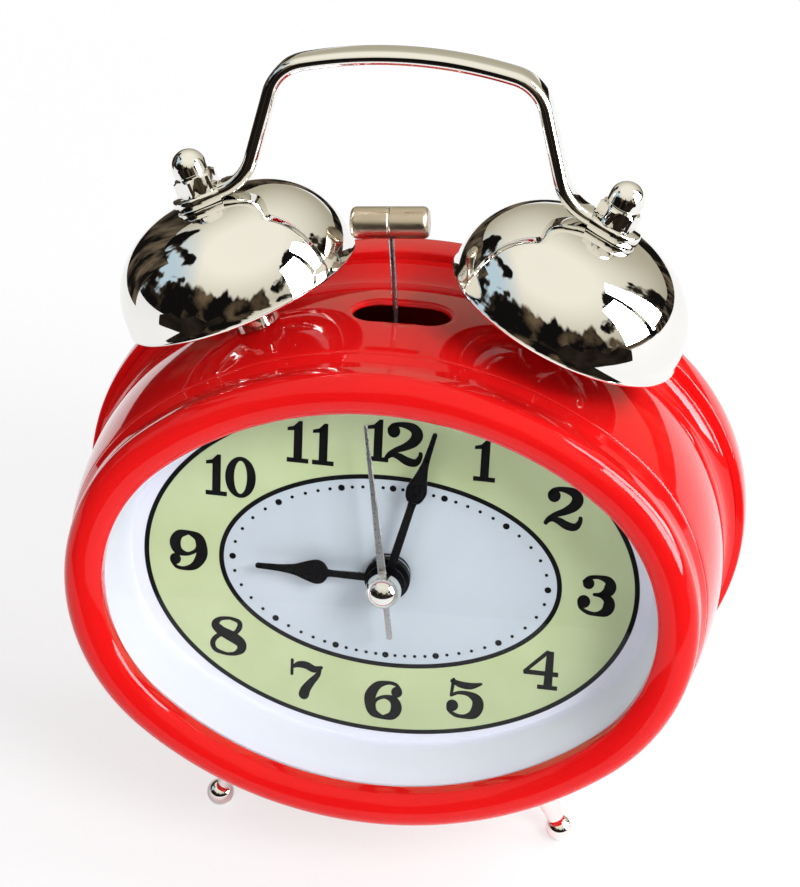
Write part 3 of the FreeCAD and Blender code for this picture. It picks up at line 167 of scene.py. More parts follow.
class StudioSettings(PropertyGroup):
    camera_at: FloatVectorProperty(
        name="Camera", description="Where the photograph was taken from", subtype="TRANSLATION",
        unit="LENGTH", default=(0.059506, -0.350276, 0.389427))
    camera_turn: FloatVectorProperty(
        name="Camera turn", description="The camera's rotation", subtype="EULER",
        default=tuple(radians(a) for a in (49.0218, 0.9614, 8.6810)))
    focal: FloatProperty(name="Focal length", description="Focal length on a 36 mm sensor, in mm",
                         default=105.931)


SETTINGS = {"clock_case": CaseSettings, "clock_dial": DialSettings, "clock_hands": HandSettings,
            "clock_bells": BellSettings, "clock_handle": HandleSettings,
            "clock_controls": ControlSettings, "clock_studio": StudioSettings}


class Sizes:
    """The numbers of one settings group, with its lengths in millimetres."""

    def __init__(self, context, name):
        group = getattr(context.scene, name)
        for key, prop in group.bl_rna.properties.items():
            if prop.type in {"FLOAT", "INT"}:
                value = getattr(group, key)
                scaled = prop.type == "FLOAT" and prop.unit == "LENGTH" and not prop.is_array
                setattr(self, key, value / MM if scaled else value)


# Outlines and meshes

WELD = 1e-5


def fan(centre, radius, first, swing, steps, skip=0):
    """Points on a circle from the first angle over a swing, without the ones that are skipped."""
    x, y = centre
    ways = [first + swing * k / steps for k in range(skip, steps + 1)]
    return [(x + radius * cos(way), y + radius * sin(way)) for way in ways]


def arc(start, end, radius, side, steps):
    """Points after start and up to end on a circular arc; side 1 bulges to the left of the way."""
    a, b = Vector(start), Vector(end)
    chord = b - a
    left = Vector((-chord.y, chord.x)).normalized()
    rise = sqrt(max(radius * radius - chord.length_squared / 4, 0))
    centre = (a + b) / 2 - left * rise * side
    first = atan2(*(a - centre).yx)
    swing = remainder(atan2(*(b - centre).yx) - first, tau)
    return fan(centre, radius, first, swing, steps, skip=1)


def rounded(corners, closed=True):
    """The corners as points, with a small arc in place of each corner that has a radius."""
    points = []
    last = len(corners) - 1
    for index, (x, y, *radius) in enumerate(corners):
        if not radius or not closed and index in (0, last):
            points.append((x, y))
            continue
        here = Vector((x, y))
        before = Vector(corners[index - 1][:2]) - here
        after = Vector(corners[(index + 1) % len(corners)][:2]) - here
        half = before.angle(after) / 2
        reach = min(radius[0] / tan(half), before.length * 0.49, after.length * 0.49)
        size = reach * tan(half)
        centre = here + (before.normalized() + after.normalized()).normalized() * (
            size / sin(half))
        first = atan2(*(here + before.normalized() * reach - centre).yx)
        end = atan2(*(here + after.normalized() * reach - centre).yx)
        swing = remainder(end - first, tau)
        points += fan(centre, size, first, swing, max(2, round(abs(swing) / radians(15))))
    return points


def circle(radius, segments, centre=(0, 0)):
    return fan(centre, radius, 0, tau, segments)[:-1]


def obround(length, width, centre=(0, 0), segments=12):
    """A slot's outline, with its length along the first axis."""
    (x, y), end = centre, (length - width) / 2
    return (fan((x + end, y), width / 2, -pi / 2, pi, segments)
            + fan((x - end, y), width / 2, pi / 2, pi, segments))


def box_outline(half_length, half_height, radius, centre=(0, 0)):
    return rounded([(centre[0] + half_length * x, centre[1] + half_height * y, radius)
                    for x, y in ((-1, -1), (1, -1), (1, 1), (-1, 1))])


def upright(outline, depth):
    """An outline in the plane of the dial, at a depth."""
    return [Vector((x, depth, z)) for x, z in outline]


def reworked(mesh, work):
    """The mesh after some work on it as a bmesh, its faces turned outwards."""
    bm = bmesh.new()
    bm.from_mesh(mesh)
    work(bm)
    bmesh.ops.recalc_face_normals(bm, faces=bm.faces)
    bm.to_mesh(mesh)
    bm.free()
    return mesh


def skin(rings, loop=False, caps=False):
    """A mesh through successive rings of as many points each."""
    def fill(bm):
        rows = [[bm.verts.new(point) for point in ring] for ring in rings]
        for row, after in zip(rows, rows[1:] + rows[:1] if loop else rows[1:]):
            for corners in zip(row, row[1:] + row[:1], after[1:] + after[:1], after):
                bm.faces.new(corners)
        if caps:
            bm.faces.new(rows[0])
            bm.faces.new(reversed(rows[-1]))
        bmesh.ops.remove_doubles(bm, verts=bm.verts, dist=WELD)

    return reworked(bpy.data.meshes.new("skin"), fill)


def lathe(profile, segments, loop=True):
    """A turned mesh about z from (radius, height) points."""
    spokes = circle(1, segments)
    return skin([[Vector((r * x, r * y, h)) for x, y in spokes] for r, h in profile], loop=loop)


def joined(*meshes):
    """One mesh out of several."""
    bm = bmesh.new()
    for mesh in meshes:
        bm.from_mesh(mesh)
        bpy.data.meshes.remove(mesh)
    whole = bpy.data.meshes.new("joined")
    bm.to_mesh(whole)
    bm.free()
    return whole


def placed(mesh, place):
    mesh.transform(place)
    return mesh


class Oval:
    """The case's outline as four tangent arcs, which grows by an offset."""
    STEPS = 66

    def __init__(self, case):
        end, top = case.end_radius, case.top_radius
        aside, below = case.half_width - end, top - case.half_height
        corner = atan2(below, aside)
        self.top = (case.rise - below, top)
        self.arcs = (((aside, case.rise), end, -corner, corner * 2),
                     ((0, case.rise - below), top, corner, pi - corner * 2),
                     ((-aside, case.rise), end, pi - corner, corner * 2),
                     ((0, case.rise + below), top, pi + corner, pi - corner * 2))

    def outline(self, offset):
        return [point for centre, radius, first, swing in self.arcs
                for point in fan(centre, radius + offset, first, swing, self.STEPS)[:-1]]

    def loft(self, profile):
        """A closed ring around the oval from (offset, depth) points."""
        return skin([upright(self.outline(offset), depth) for offset, depth in profile],
                    loop=True)

    def surface_height(self, x, offset):
        """Height of the upper long arc over the shaft."""
        centre, radius = self.top
        return sqrt((radius + offset) ** 2 - x * x) + centre


def ellipse(across, up, grown=0.0):
    """An ellipse's points, moved out along its normal by an amount."""
    points = []
    for x, y in circle(1, 240):
        normal = Vector((x * up, y * across)).normalized() * grown
        points.append((across * x + normal.x, up * y + normal.y))
    return points


def band(inner, outer, front, rear):
    """A flat closed band between two outlines of as many points."""
    return skin([upright(inner, front), upright(outer, front), upright(outer, rear),
                 upright(inner, rear)], loop=True)


def panel(outlines, front, thickness, edge=0.0):
    """A plate in the plane of the dial; outlines after the first are holes in it."""
    curve = bpy.data.curves.new("panel", "CURVE")
    curve.dimensions = "2D"
    curve.fill_mode = "BOTH"
    curve.extrude = thickness / 2 - edge
    curve.bevel_depth = edge
    curve.bevel_resolution = 2
    curve.offset = -edge
    for outline in outlines:
        spline = curve.splines.new("POLY")
        spline.points.add(len(outline) - 1)
        for point, (x, z) in zip(spline.points, outline):
            point.co = (x, z, 0, 1)
        spline.use_cyclic_u = True
    obj = bpy.data.objects.new("panel", curve)
    mesh = bpy.data.meshes.new_from_object(obj)
    bpy.data.objects.remove(obj)
    bpy.data.curves.remove(curve)
    mesh.transform(move(y=front + thickness / 2) @ about("X", pi / 2))
    return reworked(mesh, lambda bm: bmesh.ops.remove_doubles(bm, verts=bm.verts, dist=WELD * 10))


# Directions round a half turn, without its ends.
EIGHTHS = [pi * k / 8 for k in range(1, 8)]


def stroke(knots, front, thickness, edge=0.0):
    """A flat bar of varying half width along smooth knots of (x, z, half width)."""
    ends = [knots[0], *knots, knots[-1]]
    line = []
    for a, b, c, d in zip(ends, ends[1:], ends[2:], ends[3:]):
        for t in (k / 8 for k in range(8)):
            line.append([0.5 * (2 * q + (r - p) * t + (2 * p - 5 * q + 4 * r - s) * t * t
                                + (3 * q - p - 3 * r + s) * t ** 3)
                         for p, q, r, s in zip(a, b, c, d)])
    line.append(knots[-1])
    spots = [Vector(point[:2]) for point in line]
    ways = [(after - before).normalized()
            for before, after in zip([spots[0], *spots], [*spots[1:], spots[-1]])]
    left = [Vector((-way.y, way.x)) for way in ways]

    def outline(inset):
        halves = [max(point[2] - inset, point[2] * 0.2) for point in line]
        ring = [spot - side * half for spot, side, half in zip(spots, left, halves)]
        ring += [spots[-1] + (ways[-1] * sin(a) - left[-1] * cos(a)) * halves[-1]
                 for a in EIGHTHS]
        ring += [spot + side * half for spot, side, half in
                 zip(reversed(spots), reversed(left), reversed(halves))]
        ring += [spots[0] + (left[0] * cos(a) - ways[0] * sin(a)) * halves[0] for a in EIGHTHS]
        return ring

    rings = [upright(outline(edge), front), upright(outline(0), front + max(edge, 0.001)),
             upright(outline(0), front + thickness)]
    return skin(rings, caps=True)


def prism(outline, front, thickness):
    """A closed plate with one outline and no holes."""
    return skin([upright(outline, front), upright(outline, front + thickness)], caps=True)


def sweep(line, section):
    """A closed bar along a line of (point, way) in the plane of the dial, from a section whose
    points are (out from the line, depth)."""
    rings = []
    for (x, z), (wx, wz) in line:
        rings.append([Vector((x - wz * out, depth, z + wx * out)) for out, depth in section])
    return skin(rings, caps=True)


def cut_away(mesh, cutter):
    """The mesh less the cutter."""
    body, tool = shown("body", mesh), shown("tool", cutter)
    modifier = body.modifiers.new("cut", "BOOLEAN")
    modifier.operation = "DIFFERENCE"
    modifier.solver = "EXACT"
    modifier.object = tool
    result = evaluated(body)
    for obj, used in ((tool, cutter), (body, mesh)):
        bpy.data.objects.remove(obj)
        bpy.data.meshes.remove(used)
    return result


def evaluated(obj):
    """A plain mesh of the object with its modifiers applied."""
    bpy.context.view_layer.update()
    return bpy.data.meshes.new_from_object(
        obj.evaluated_get(bpy.context.evaluated_depsgraph_get()))


def above_ground(mesh, place):
    """The mesh at its place, less what reaches below the plane that the clock stands on."""
    def cut(bm):
        made = bmesh.ops.bisect_plane(bm, geom=bm.verts[:] + bm.edges[:] + bm.faces[:], dist=1e-8,
                                      plane_co=(0, 0, 0), plane_no=(0, 0, -1), clear_outer=True)
        edges = [item for item in made["geom_cut"] if isinstance(item, bmesh.types.BMEdge)]
        if edges:
            bmesh.ops.contextual_create(bm, geom=edges)

    return reworked(placed(mesh, place), cut)


def shown(name, data):
    """A new object in the scene."""
    obj = bpy.data.objects.new(name, data)
    bpy.context.scene.collection.objects.link(obj)
    return obj


def dress(name, mesh, material, replaces=None, body="case", place=CLOCK, sharp=32):
    """Puts a piece in the scene: moved to its place, shaded, and bound to its body."""
    if place is not None:
        mesh.transform(place)
    mesh.name = name
    mesh.shade_smooth()
    mesh.set_sharp_from_angle(angle=radians(sharp))
    mesh.materials.clear()
    mesh.materials.append(MATERIALS[material])
    for polygon in mesh.polygons:
        polygon.material_index = 0
    obj = shown(name, mesh)
    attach(obj, body)
    if replaces:
        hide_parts(replaces)


# Node trees

def pick(sockets, key):
    """A socket by its identifier or by its name, with _ for a space."""
    for socket in sockets:
        if socket.identifier == key:
            return socket
    return next(socket for socket in sockets if socket.name.replace(" ", "_") == key.replace(" ", "_"))


class Wire:
    """A node's output that takes part in arithmetic by adding math nodes to its tree."""

    def __init__(self, nodes, socket):
        self.nodes, self.socket = nodes, socket

    def math(self, operation, *values):
        node = self.nodes.tree.nodes.new("ShaderNodeMath")
        node.operation = operation
        for socket, value in zip(node.inputs, values):
            self.nodes.feed(socket, value)
        return Wire(self.nodes, node.outputs[0])

    def least(self, other):
        return self.math("MINIMUM", self, other)

    def most(self, other):
        return self.math("MAXIMUM", self, other)

    def other(self, output):
        """Another output of the same node."""
        return Wire(self.nodes, pick(self.socket.node.outputs, output))


def arithmetic(operation, flipped):
    """A method of Wire for one of Python's signs."""
    def method(self, other):
        return self.math(operation, *((other, self) if flipped else (self, other)))

    return method


for sign, operation in (("add", "ADD"), ("sub", "SUBTRACT"), ("mul", "MULTIPLY"),
                        ("truediv", "DIVIDE"), ("mod", "MODULO"), ("pow", "POWER"),
                        ("lt", "LESS_THAN"), ("rsub", "SUBTRACT"), ("rtruediv", "DIVIDE")):
    setattr(Wire, f"__{sign}__", arithmetic(operation, sign.startswith("r")))


class Nodes:
    """A node tree that is filled by calls; a constant goes on its socket, a wire becomes a link."""

    def __init__(self, tree):
        self.tree = tree
        tree.nodes.clear()

    def feed(self, socket, value):
        if isinstance(value, Wire):
            self.tree.links.new(value.socket, socket)
        elif socket.type == "RGBA" and len(value) == 3:
            socket.default_value = (*value, 1)
        else:
            socket.default_value = value

    def add(self, kind, settings=None, out=0, **inputs):
        node = self.tree.nodes.new(kind)
        for key, value in (settings or {}).items():
            setattr(node, key, value)
        for key, value in inputs.items():
            self.feed(pick(node.inputs, key), value)
        if not node.outputs:
            return node
        return Wire(self, node.outputs[out] if isinstance(out, int) else pick(node.outputs, out))

    def remap(self, value, low, high, to_low=0.0, to_high=1.0):
        return self.add("ShaderNodeMapRange", Value=value, From_Min=low, From_Max=high,
                        To_Min=to_low, To_Max=to_high)

    def spread(self, grain, low=0.0, high=1.0):
        """Maps the middle of a noise's range onto low to high."""
        return self.remap(grain, 0.3, 0.7, low, high)

    def noise(self, scale, detail=3.0, stretch=(1, 1, 1), on="Object"):
        """Noise from 0 to 1, with scale in features per unit of the coordinates."""
        spot = self.add("ShaderNodeMapping", Scale=stretch,
                        Vector=self.add("ShaderNodeTexCoord", out=on))
        return self.add("ShaderNodeTexNoise", out="Fac", Vector=spot, Scale=scale, Detail=detail)

    def blend(self, factor, colours):
        return self.add("ShaderNodeMix", {"data_type": "RGBA"}, out="Result_Color",
                        Factor_Float=factor, A_Color=colours[0], B_Color=colours[1])

    def shine(self, kind, colour, strength=1.0):
        return self.add("ShaderNode" + kind, Color=colour, Strength=strength)

    def mix(self, factor, one, other):
        return self.add("ShaderNodeMixShader", Fac=factor, Shader=one, Shader_001=other)

    def finish(self, surface, kind="Material"):
        self.add("ShaderNodeOutput" + kind, Surface=surface)


# All finishes by the names that this script gives them.
MATERIALS = {}


def new_material(name):
    material = bpy.data.materials.new(name)
    material.use_nodes = True
    MATERIALS[name] = material
    return material, Nodes(material.node_tree)


def paint(name, colours, roughness, relief, waves, **inputs):
    """A principled finish whose colour, roughness and relief vary over the piece.

    colours and roughness are pairs; waves makes, from the nodes, the factor of the colours and
    the grain; relief is the height of the surface's texture in metres.
    """
    material, nodes = new_material(name)
    tone, grain = waves(nodes)
    nodes.finish(nodes.add(
        "ShaderNodeBsdfPrincipled", Base_Color=nodes.blend(tone, colours),
        Roughness=nodes.spread(grain, *roughness),
        Normal=nodes.add("ShaderNodeBump", Height=grain, Distance=relief, Strength=1.0), **inputs))
    return material


def surface(name, colours, roughness, scales, relief, stretch=(1, 1, 1), **inputs):
    """A finish with noise: scales are features per metre of the slow tone and the fine grain."""
    return paint(name, colours, roughness, relief, lambda nodes: (
        nodes.spread(nodes.noise(scales[0], stretch=stretch)),
        nodes.noise(scales[1], 4, stretch)), **inputs)


def banded(name, colours, roughness, scale, relief, **inputs):
    """A finish in fine bands across the object's x axis, such as wire wound on a bobbin."""
    def bands(nodes):
        spot = nodes.add("ShaderNodeMapping", Scale=(1, 1, 1),
                         Vector=nodes.add("ShaderNodeTexCoord", out="Object"))
        wave = nodes.add("ShaderNodeTexWave", {"bands_direction": "X"}, out="Fac", Vector=spot,
                         Scale=scale, Distortion=0.6, Detail=1)
        return wave, wave

    return paint(name, colours, roughness, relief, bands, **inputs)


def lens_material():
    """Thin clear sheet: it lets light straight through, and its front mirrors more at a slant."""
    material, nodes = new_material("clear_lens")
    mirror = nodes.add("ShaderNodeBsdfGlossy", Color=(1, 1, 1),
                       Roughness=nodes.spread(nodes.noise(60), 0.01, 0.03))
    through = nodes.add("ShaderNodeBsdfTransparent", Color=(0.99, 0.995, 0.995))
    slant = nodes.add("ShaderNodeFresnel", IOR=1.45)
    rear = nodes.add("ShaderNodeNewGeometry", out="Backfacing")
    nodes.finish(nodes.mix(slant * (1 - rear) * 0.6, through, mirror))
    return material


def make_materials():
    """Make all the finishes of the clock."""
    surface("red_case", ((0.70, 0.006, 0.007), (0.75, 0.009, 0.009)), (0.05, 0.10), (30, 260),
            4e-6, Coat_Weight=1.0, Coat_Roughness=0.02, Coat_IOR=1.27,
            Specular_IOR_Level=0.05)
    surface("white_trim", ((0.83, 0.85, 0.97), (0.85, 0.87, 0.98)), (0.32, 0.42), (40, 700),
            4e-6)
    surface("dial_margin", ((0.83, 0.85, 0.95), (0.85, 0.87, 0.96)), (0.5, 0.6), (50, 2600),
            3e-6)
    surface("dial_centre", ((0.52, 0.60, 0.66), (0.62, 0.69, 0.76)), (0.5, 0.6), (35, 2600),
            3e-6)
    surface("luminous_paint", ((0.52, 0.62, 0.33), (0.58, 0.68, 0.39)), (0.55, 0.7),
            (90, 5200), 1e-5)
    surface("dial_ink", ((0.003, 0.0035, 0.004), (0.007, 0.007, 0.008)), (0.45, 0.6),
            (200, 4000), 2e-6, Specular_IOR_Level=0.12)
    surface("black_enamel", ((0.003, 0.003, 0.004), (0.007, 0.007, 0.008)), (0.25, 0.35),
            (200, 1500), 3e-6, Specular_IOR_Level=0.15)
    surface("satin_silver", ((0.50, 0.51, 0.52), (0.62, 0.63, 0.64)), (0.25, 0.35),
            (300, 2200), 3e-7, Metallic=1.0)
    surface("chrome_plate", ((0.84, 0.83, 0.80), (0.89, 0.88, 0.85)), (0.012, 0.04),
            (25, 130), 5e-6, Metallic=1.0)
    surface("zinc_steel", ((0.46, 0.47, 0.48), (0.60, 0.61, 0.62)), (0.22, 0.36), (180, 900),
            1e-5, Metallic=1.0)
    surface("hammer_nickel", ((0.50, 0.43, 0.33), (0.66, 0.58, 0.46)), (0.26, 0.38),
            (120, 900), 6e-6, stretch=(0.3, 1, 1), Metallic=1.0)
    surface("black_plastic", ((0.018, 0.018, 0.019), (0.03, 0.03, 0.031)), (0.42, 0.58),
            (150, 3000), 1.5e-5)
    surface("brass_pipe", ((0.62, 0.44, 0.16), (0.72, 0.54, 0.22)), (0.2, 0.32), (300, 1800),
            5e-6, Metallic=1.0)
    banded("copper_wire", ((0.55, 0.16, 0.06), (0.80, 0.32, 0.14)), (0.2, 0.35), 900, 3e-5,
           Metallic=0.9, Coat_Weight=0.5)
    banded("battery_sleeve", ((0.02, 0.02, 0.022), (0.05, 0.05, 0.055)), (0.25, 0.35), 8,
           2e-6, Coat_Weight=0.4)
    lens_material()


# Case

# Depths behind the dial's face: the seams at the bezel and at the cover, and the lens's rear.
SEAM, REAR, GLASS = -7.4, 33.5, -11.5


class ClockBuilder:
    """What all of the clock's operators share."""
    bl_options = {"REGISTER", "UNDO"}

    @classmethod
    def poll(cls, context):
        return hasattr(context.scene, "clock_case")


class BuildShell(ClockBuilder, Operator):
    """Mould the red case between bezel and cover, with the hammer's slot in its top"""
    bl_idname = "clock.build_shell"
    bl_label = "Case shell"

    def execute(self, context):
        case, bells = Sizes(context, "clock_case"), Sizes(context, "clock_bells")
        oval, wall = Oval(case), case.wall
        profile = [(-2.0, SEAM, case.edge_round), *arc((-2.0, SEAM), (-0.3, 20.5), 90.0, -1, 14),
                   *arc((-0.3, 20.5), (1.7, 26.0), 7.0, 1, 8), (1.7, REAR), (1.7 - wall, REAR),
                   (1.7 - wall, 26.9), (-0.3 - wall, 21.4), (-0.1 - wall, 7.2),
                   (-2.0 - wall, SEAM + 1.8), (-3.8 - wall, SEAM), (-3.8 - wall, GLASS),
                   (-3.8, GLASS), (-3.8, SEAM)]
        shell = cut_away(oval.loft(rounded(profile)), slot_cutter(case, bells.middle, oval))
        dress("case_shell_moulding", shell, "red_case", "case_shell", sharp=40)
        return {"FINISHED"}


def slot_cutter(case, middle, oval):
    """An upright obround that flares where it meets the case's crowned surface."""
    rings = []
    for grown, sunk in ((2.5, 5.0), (2.5, 1.0), (0, 0.7), (0.08, 0.42), (0.25, 0.2), (0.5, 0.06),
                        (0.8, 0.0), (0.9, -0.3), (0.9, -3.0)):
        outline = obround(case.slot_length - 0.6 + grown * 2, case.slot_width - 0.6 + grown * 2,
                          segments=24)
        rings.append([Vector((x, middle + y, oval.surface_height(x, -y ** 2 / 180) - sunk))
                      for x, y in outline])
    return skin(rings, caps=True)


class BuildBezel(ClockBuilder, Operator):
    """Mould the bezel with its rounded bead around the lens"""
    bl_idname = "clock.build_bezel"
    bl_label = "Bezel"

    def execute(self, context):
        case = Sizes(context, "clock_case")
        inset, bead, front = case.bead_inset, case.bead_radius, -case.bead_front
        crest = []
        for degrees in range(0, 151, 6):
            half = bead if degrees < 90 else bead + 0.8
            crest.append((half * cos(radians(degrees)) - inset,
                          front - bead * sin(radians(degrees))))
        mouth = crest.pop()
        bore = bead - 1.6
        profile = rounded([(-2.0, SEAM, case.edge_round), (-2.15, -8.1, 0.6), (-2.95, -9.9, 1.2),
                           (-3.15, -11.6, 1.2), *crest, (*mouth, 0.3), (mouth[0], front + 1, 0.2),
                           (-inset - bore, front + 1), (-inset - bore, front),
                           (-inset - bore / 2, front - bore), (bore / 2 - inset, front - bore),
                           (bore - inset, front), (-3.6, GLASS), (-3.6, SEAM)])
        dress("bezel_moulding", Oval(case).loft(profile), "red_case", "bezel",
              sharp=40)
        return {"FINISHED"}


# Where the back cover's controls, screws and battery are, its holes' radii, the switch's slot
# and half sizes of tub and door.
KNOBS = {"time_knob": 13.0, "alarm_knob": -13.0}
KNOB_RISE = 6.0
SWITCH_RISE = 30.0
SCREWS = ((-24.0, 20.6), (24.0, 20.6), (-24.0, -14.4), (24.0, -14.4))
CELL_RISE = -29.6
KNOB_HOLE, SCREW_HOLE = 1.75, 3.0
SWITCH_SLOT = (10.4, 4.0)
TUB = (27.25, 7.55)
DOOR = (29.85, 9.15)


class BuildCover(ClockBuilder, Operator):
    """Mould the back cover: rolled rim, rear plate with its holes, and battery tub"""
    bl_idname = "clock.build_cover"
    bl_label = "Back cover"

    def execute(self, context):
        oval = Oval(Sizes(context, "clock_case"))
        rim = rounded([(1.73, 28.5), (3.2, 28.5, 0.5), (3.6, 31.0), (3.6, 34.0),
                       *arc((3.6, 34.0), (0.8, 36.8), 2.8, -1, 12), (-0.7, 36.8, 0.5),
                       (-0.7, REAR), (1.73, REAR)])
        holes = [circle(KNOB_HOLE, 32, (across, KNOB_RISE)) for across in KNOBS.values()]
        holes += [circle(SCREW_HOLE, 40, spot) for spot in SCREWS]
        holes += [obround(*SWITCH_SLOT, (0, SWITCH_RISE)),
                  box_outline(DOOR[0] + 0.1, DOOR[1] + 0.1, 1.0, (0, CELL_RISE))]
        plate = panel([oval.outline(-0.5), *holes], REAR, 2.0, 0.15)
        tub = skin([upright(box_outline(size[0] + more, size[1] + more, 1.0, (0, CELL_RISE)), depth)
                    for size, more, depth in (
                        (TUB, 0, 18.9), (TUB, 0, REAR + 0.45), (DOOR, 0.3, REAR + 0.45),
                        (DOOR, 0.3, REAR), (TUB, 1.5, REAR), (TUB, 1.5, 17.4))], caps=True)
        seats = [placed(lathe(rounded([(1.7, 33.0), (3.1, 33.0), (3.1, REAR), (1.7, REAR)]), 40),
                        move(x, 0, z) @ about("X", -pi / 2)) for x, z in SCREWS]
        cover = joined(oval.loft(rim), plate, tub, *seats)
        dress("back_cover_moulding", above_ground(cover, CLOCK), "red_case",
              "back_cover", place=None, sharp=25)
        return {"FINISHED"}


# Dial

# Thickness of a layer of print, and radius of the hole for the hands' pipes.
FLAT = 0.03
DIAL_HOLE = 4.0


class BuildDial(ClockBuilder, Operator):
    """Make the dial card, its luminous oval, the two printed rings and the white surround"""
    bl_idname = "clock.build_dial"
    bl_label = "Dial"

    def execute(self, context):
        dial, oval = Sizes(context, "clock_dial"), Oval(Sizes(context, "clock_case"))
        outer, inner = (dial.outer_across, dial.outer_up), (dial.inner_across, dial.inner_up)
        half, place = dial.line / 2, printed(dial)
        dress("dial_card", panel([oval.outline(-3.1), circle(DIAL_HOLE, 64)], 0, 1.2),
              "dial_margin", "dial")
        rings = [band(ellipse(*size, -half), ellipse(*size, half), -FLAT * 2, -FLAT)
                 for size in (outer, inner)]
        for name, mesh, ink in (
                ("dial_centre", band(circle(DIAL_HOLE, 240), ellipse(*inner), -FLAT, -0.001),
                 "dial_centre"),
                ("dial_luminous", band(ellipse(*inner), ellipse(*outer), -FLAT, -0.001),
                 "luminous_paint"),
                ("dial_rings", joined(*rings), "dial_ink")):
            dress(name, mesh, ink, place=place)
        wall = rounded([(-12.0, 0), (-9.6, GLASS, 0.3), (-5.8, GLASS), (-5.8, -9.9), (-8.0, -9.9),
                        (-10.4, 0)])
        dress("dial_wall", oval.loft(wall), "white_trim", "dial_surround")
        return {"FINISHED"}


def printed(dial):
    return CLOCK @ about("Y", dial.turned)


# How far each numeral is printed from its place on the oval, across and up in mm.
NUDGES = {1: (1.8, -0.3), 2: (1.5, 0.0), 4: (-0.4, 0.4), 5: (0.9, 0.2), 7: (-0.4, 0.4),
          8: (-0.4, 0.0), 9: (0.5, 0.1), 10: (-0.4, -0.8), 11: (-1.0, -0.4), 12: (-0.05, -0.5)}
# The space between two digits, in heights.
SPACES = {10: -0.04, 11: 0.08, 12: -0.1}
WEIGHT = 1.12

# Each glyph is one unit high: strokes of (x, z, half width), balls of (x, z, radius), and plates.
GLYPHS = {
    "1": {"plates": [[(.18, .08), (.39, .08), (.39, 1.0), (.30, 1.0), (.18, .84)],
                     [(.02, .83), (.02, .75), (.20, .77), (.34, .98), (.30, 1.0), (.17, .87)],
                     [(.02, 0), (.55, 0), (.55, .11), (.02, .11)]], "width": 0.54},
    "2": {"strokes": [
        [(.10, .80, .04), (.2, .90, .045), (.427, .93, .06), (.68, .87, .10), (.78, .72, .127),
         (.70, .55, .11), (.5, .41, .08), (.28, .31, .06), (.13, .2, .055), (.06, .10, .05)],
        [(.06, .10, .03), (.2, .19, .05), (.36, .17, .075), (.55, .08, .09), (.72, .05, .085),
         (.82, .10, .07), (.88, .22, .05), (.88, .28, .045)]],
        "balls": [(.213, .76, .155)], "width": 0.94},
    "3": {"strokes": [
        [(.15, .82, .035), (.28, .92, .045), (.5, .955, .045), (.72, .90, .09),
         (.795, .76, .13), (.74, .62, .12), (.58, .53, .06), (.42, .52, .035)],
        [(.42, .52, .035), (.6, .5, .05), (.76, .42, .11), (.80, .27, .13), (.72, .12, .11),
         (.52, .045, .05), (.3, .06, .045), (.12, .16, .04), (.07, .27, .04)]],
        "balls": [(.264, .778, .14), (.18, .32, .16)], "width": 0.94},
    "4": {"strokes": [[(.03, .42, .04), (.56, .95, .045)]],
          "plates": [[(.51, .1), (.73, .1), (.72, .98), (.54, .98)],
                     [(.36, 0), (.86, 0), (.86, .11), (.36, .11)],
                     [(0, .345), (.86, .345), (.86, .465), (0, .465)]], "width": 0.86},
    "5": {"strokes": [
        [(.16, .97, .04), (.12, .57, .035)],
        [(.13, .93, .05), (.35, .86, .075), (.6, .85, .075), (.85, .93, .03)],
        [(.12, .56, .035), (.3, .645, .04), (.55, .64, .06), (.76, .52, .115), (.80, .33, .13),
         (.70, .13, .11), (.48, .045, .05), (.25, .06, .045), (.08, .17, .04),
         (.06, .26, .04)]],
        "balls": [(.16, .30, .15)], "width": 0.93},
    "6": {"strokes": [
        [(.88, .80, .035), (.76, .93, .04), (.55, .955, .045), (.3, .86, .09), (.14, .62, .125),
         (.13, .38, .125), (.22, .15, .10), (.46, .045, .045)],
        [(.46, .045, .045), (.70, .12, .10), (.80, .32, .125), (.72, .52, .10), (.5, .585, .045),
         (.30, .5, .04), (.25, .4, .03)]],
        "balls": [(.79, .737, .14)], "width": 0.92},
    "7": {"strokes": [
        [(.06, .98, .035), (.06, .62, .035)],
        [(.08, .80, .03), (.22, .88, .07), (.42, .88, .085), (.62, .80, .08), (.8, .86, .04)],
        [(.78, .86, .03), (.72, .67, .06), (.55, .45, .085), (.42, .25, .11), (.38, .12, .12)]],
        "width": 0.84},
    "8": {"strokes": [
        [(.5, .965, .035), (.25, .92, .05), (.14, .77, .1), (.28, .62, .11), (.55, .5, .125),
         (.78, .36, .115), (.80, .2, .10), (.65, .07, .05), (.44, .035, .035)],
        [(.5, .965, .035), (.72, .9, .05), (.75, .77, .06), (.66, .62, .05), (.5, .55, .04)],
        [(.44, .035, .035), (.16, .11, .05), (.07, .27, .06), (.14, .43, .055),
         (.32, .56, .05)]], "width": 0.90},
    "0": {"oval": (.38, .5, .27, .45, .11, .05), "width": 0.76},
}


def glyph(letter, depth):
    """A numeral's mesh, one unit high, standing on z = 0 from x = 0, and its width."""
    shape = GLYPHS["6" if letter == "9" else letter]
    parts = [stroke([(x, z, half * WEIGHT) for x, z, half in knots], -depth, depth)
             for knots in shape.get("strokes", ())]
    outlines = [circle(r, 32, (x, z)) for x, z, r in shape.get("balls", ())]
    parts += [prism(outline, -depth, depth)
              for outline in outlines + list(shape.get("plates", ()))]
    if "oval" in shape:
        x, z, across, up, side, top = shape["oval"]
        loops = [[(x + (across + sign * side) * c, z + (up + sign * top) * s)
                  for c, s in circle(1, 64)] for sign in (-1, 1)]
        parts.append(band(*loops, -depth, 0))
    mesh = joined(*parts)
    if letter == "9":
        mesh.transform(move(shape["width"], 0, 1) @ about("Y", pi))
    return mesh, shape["width"]


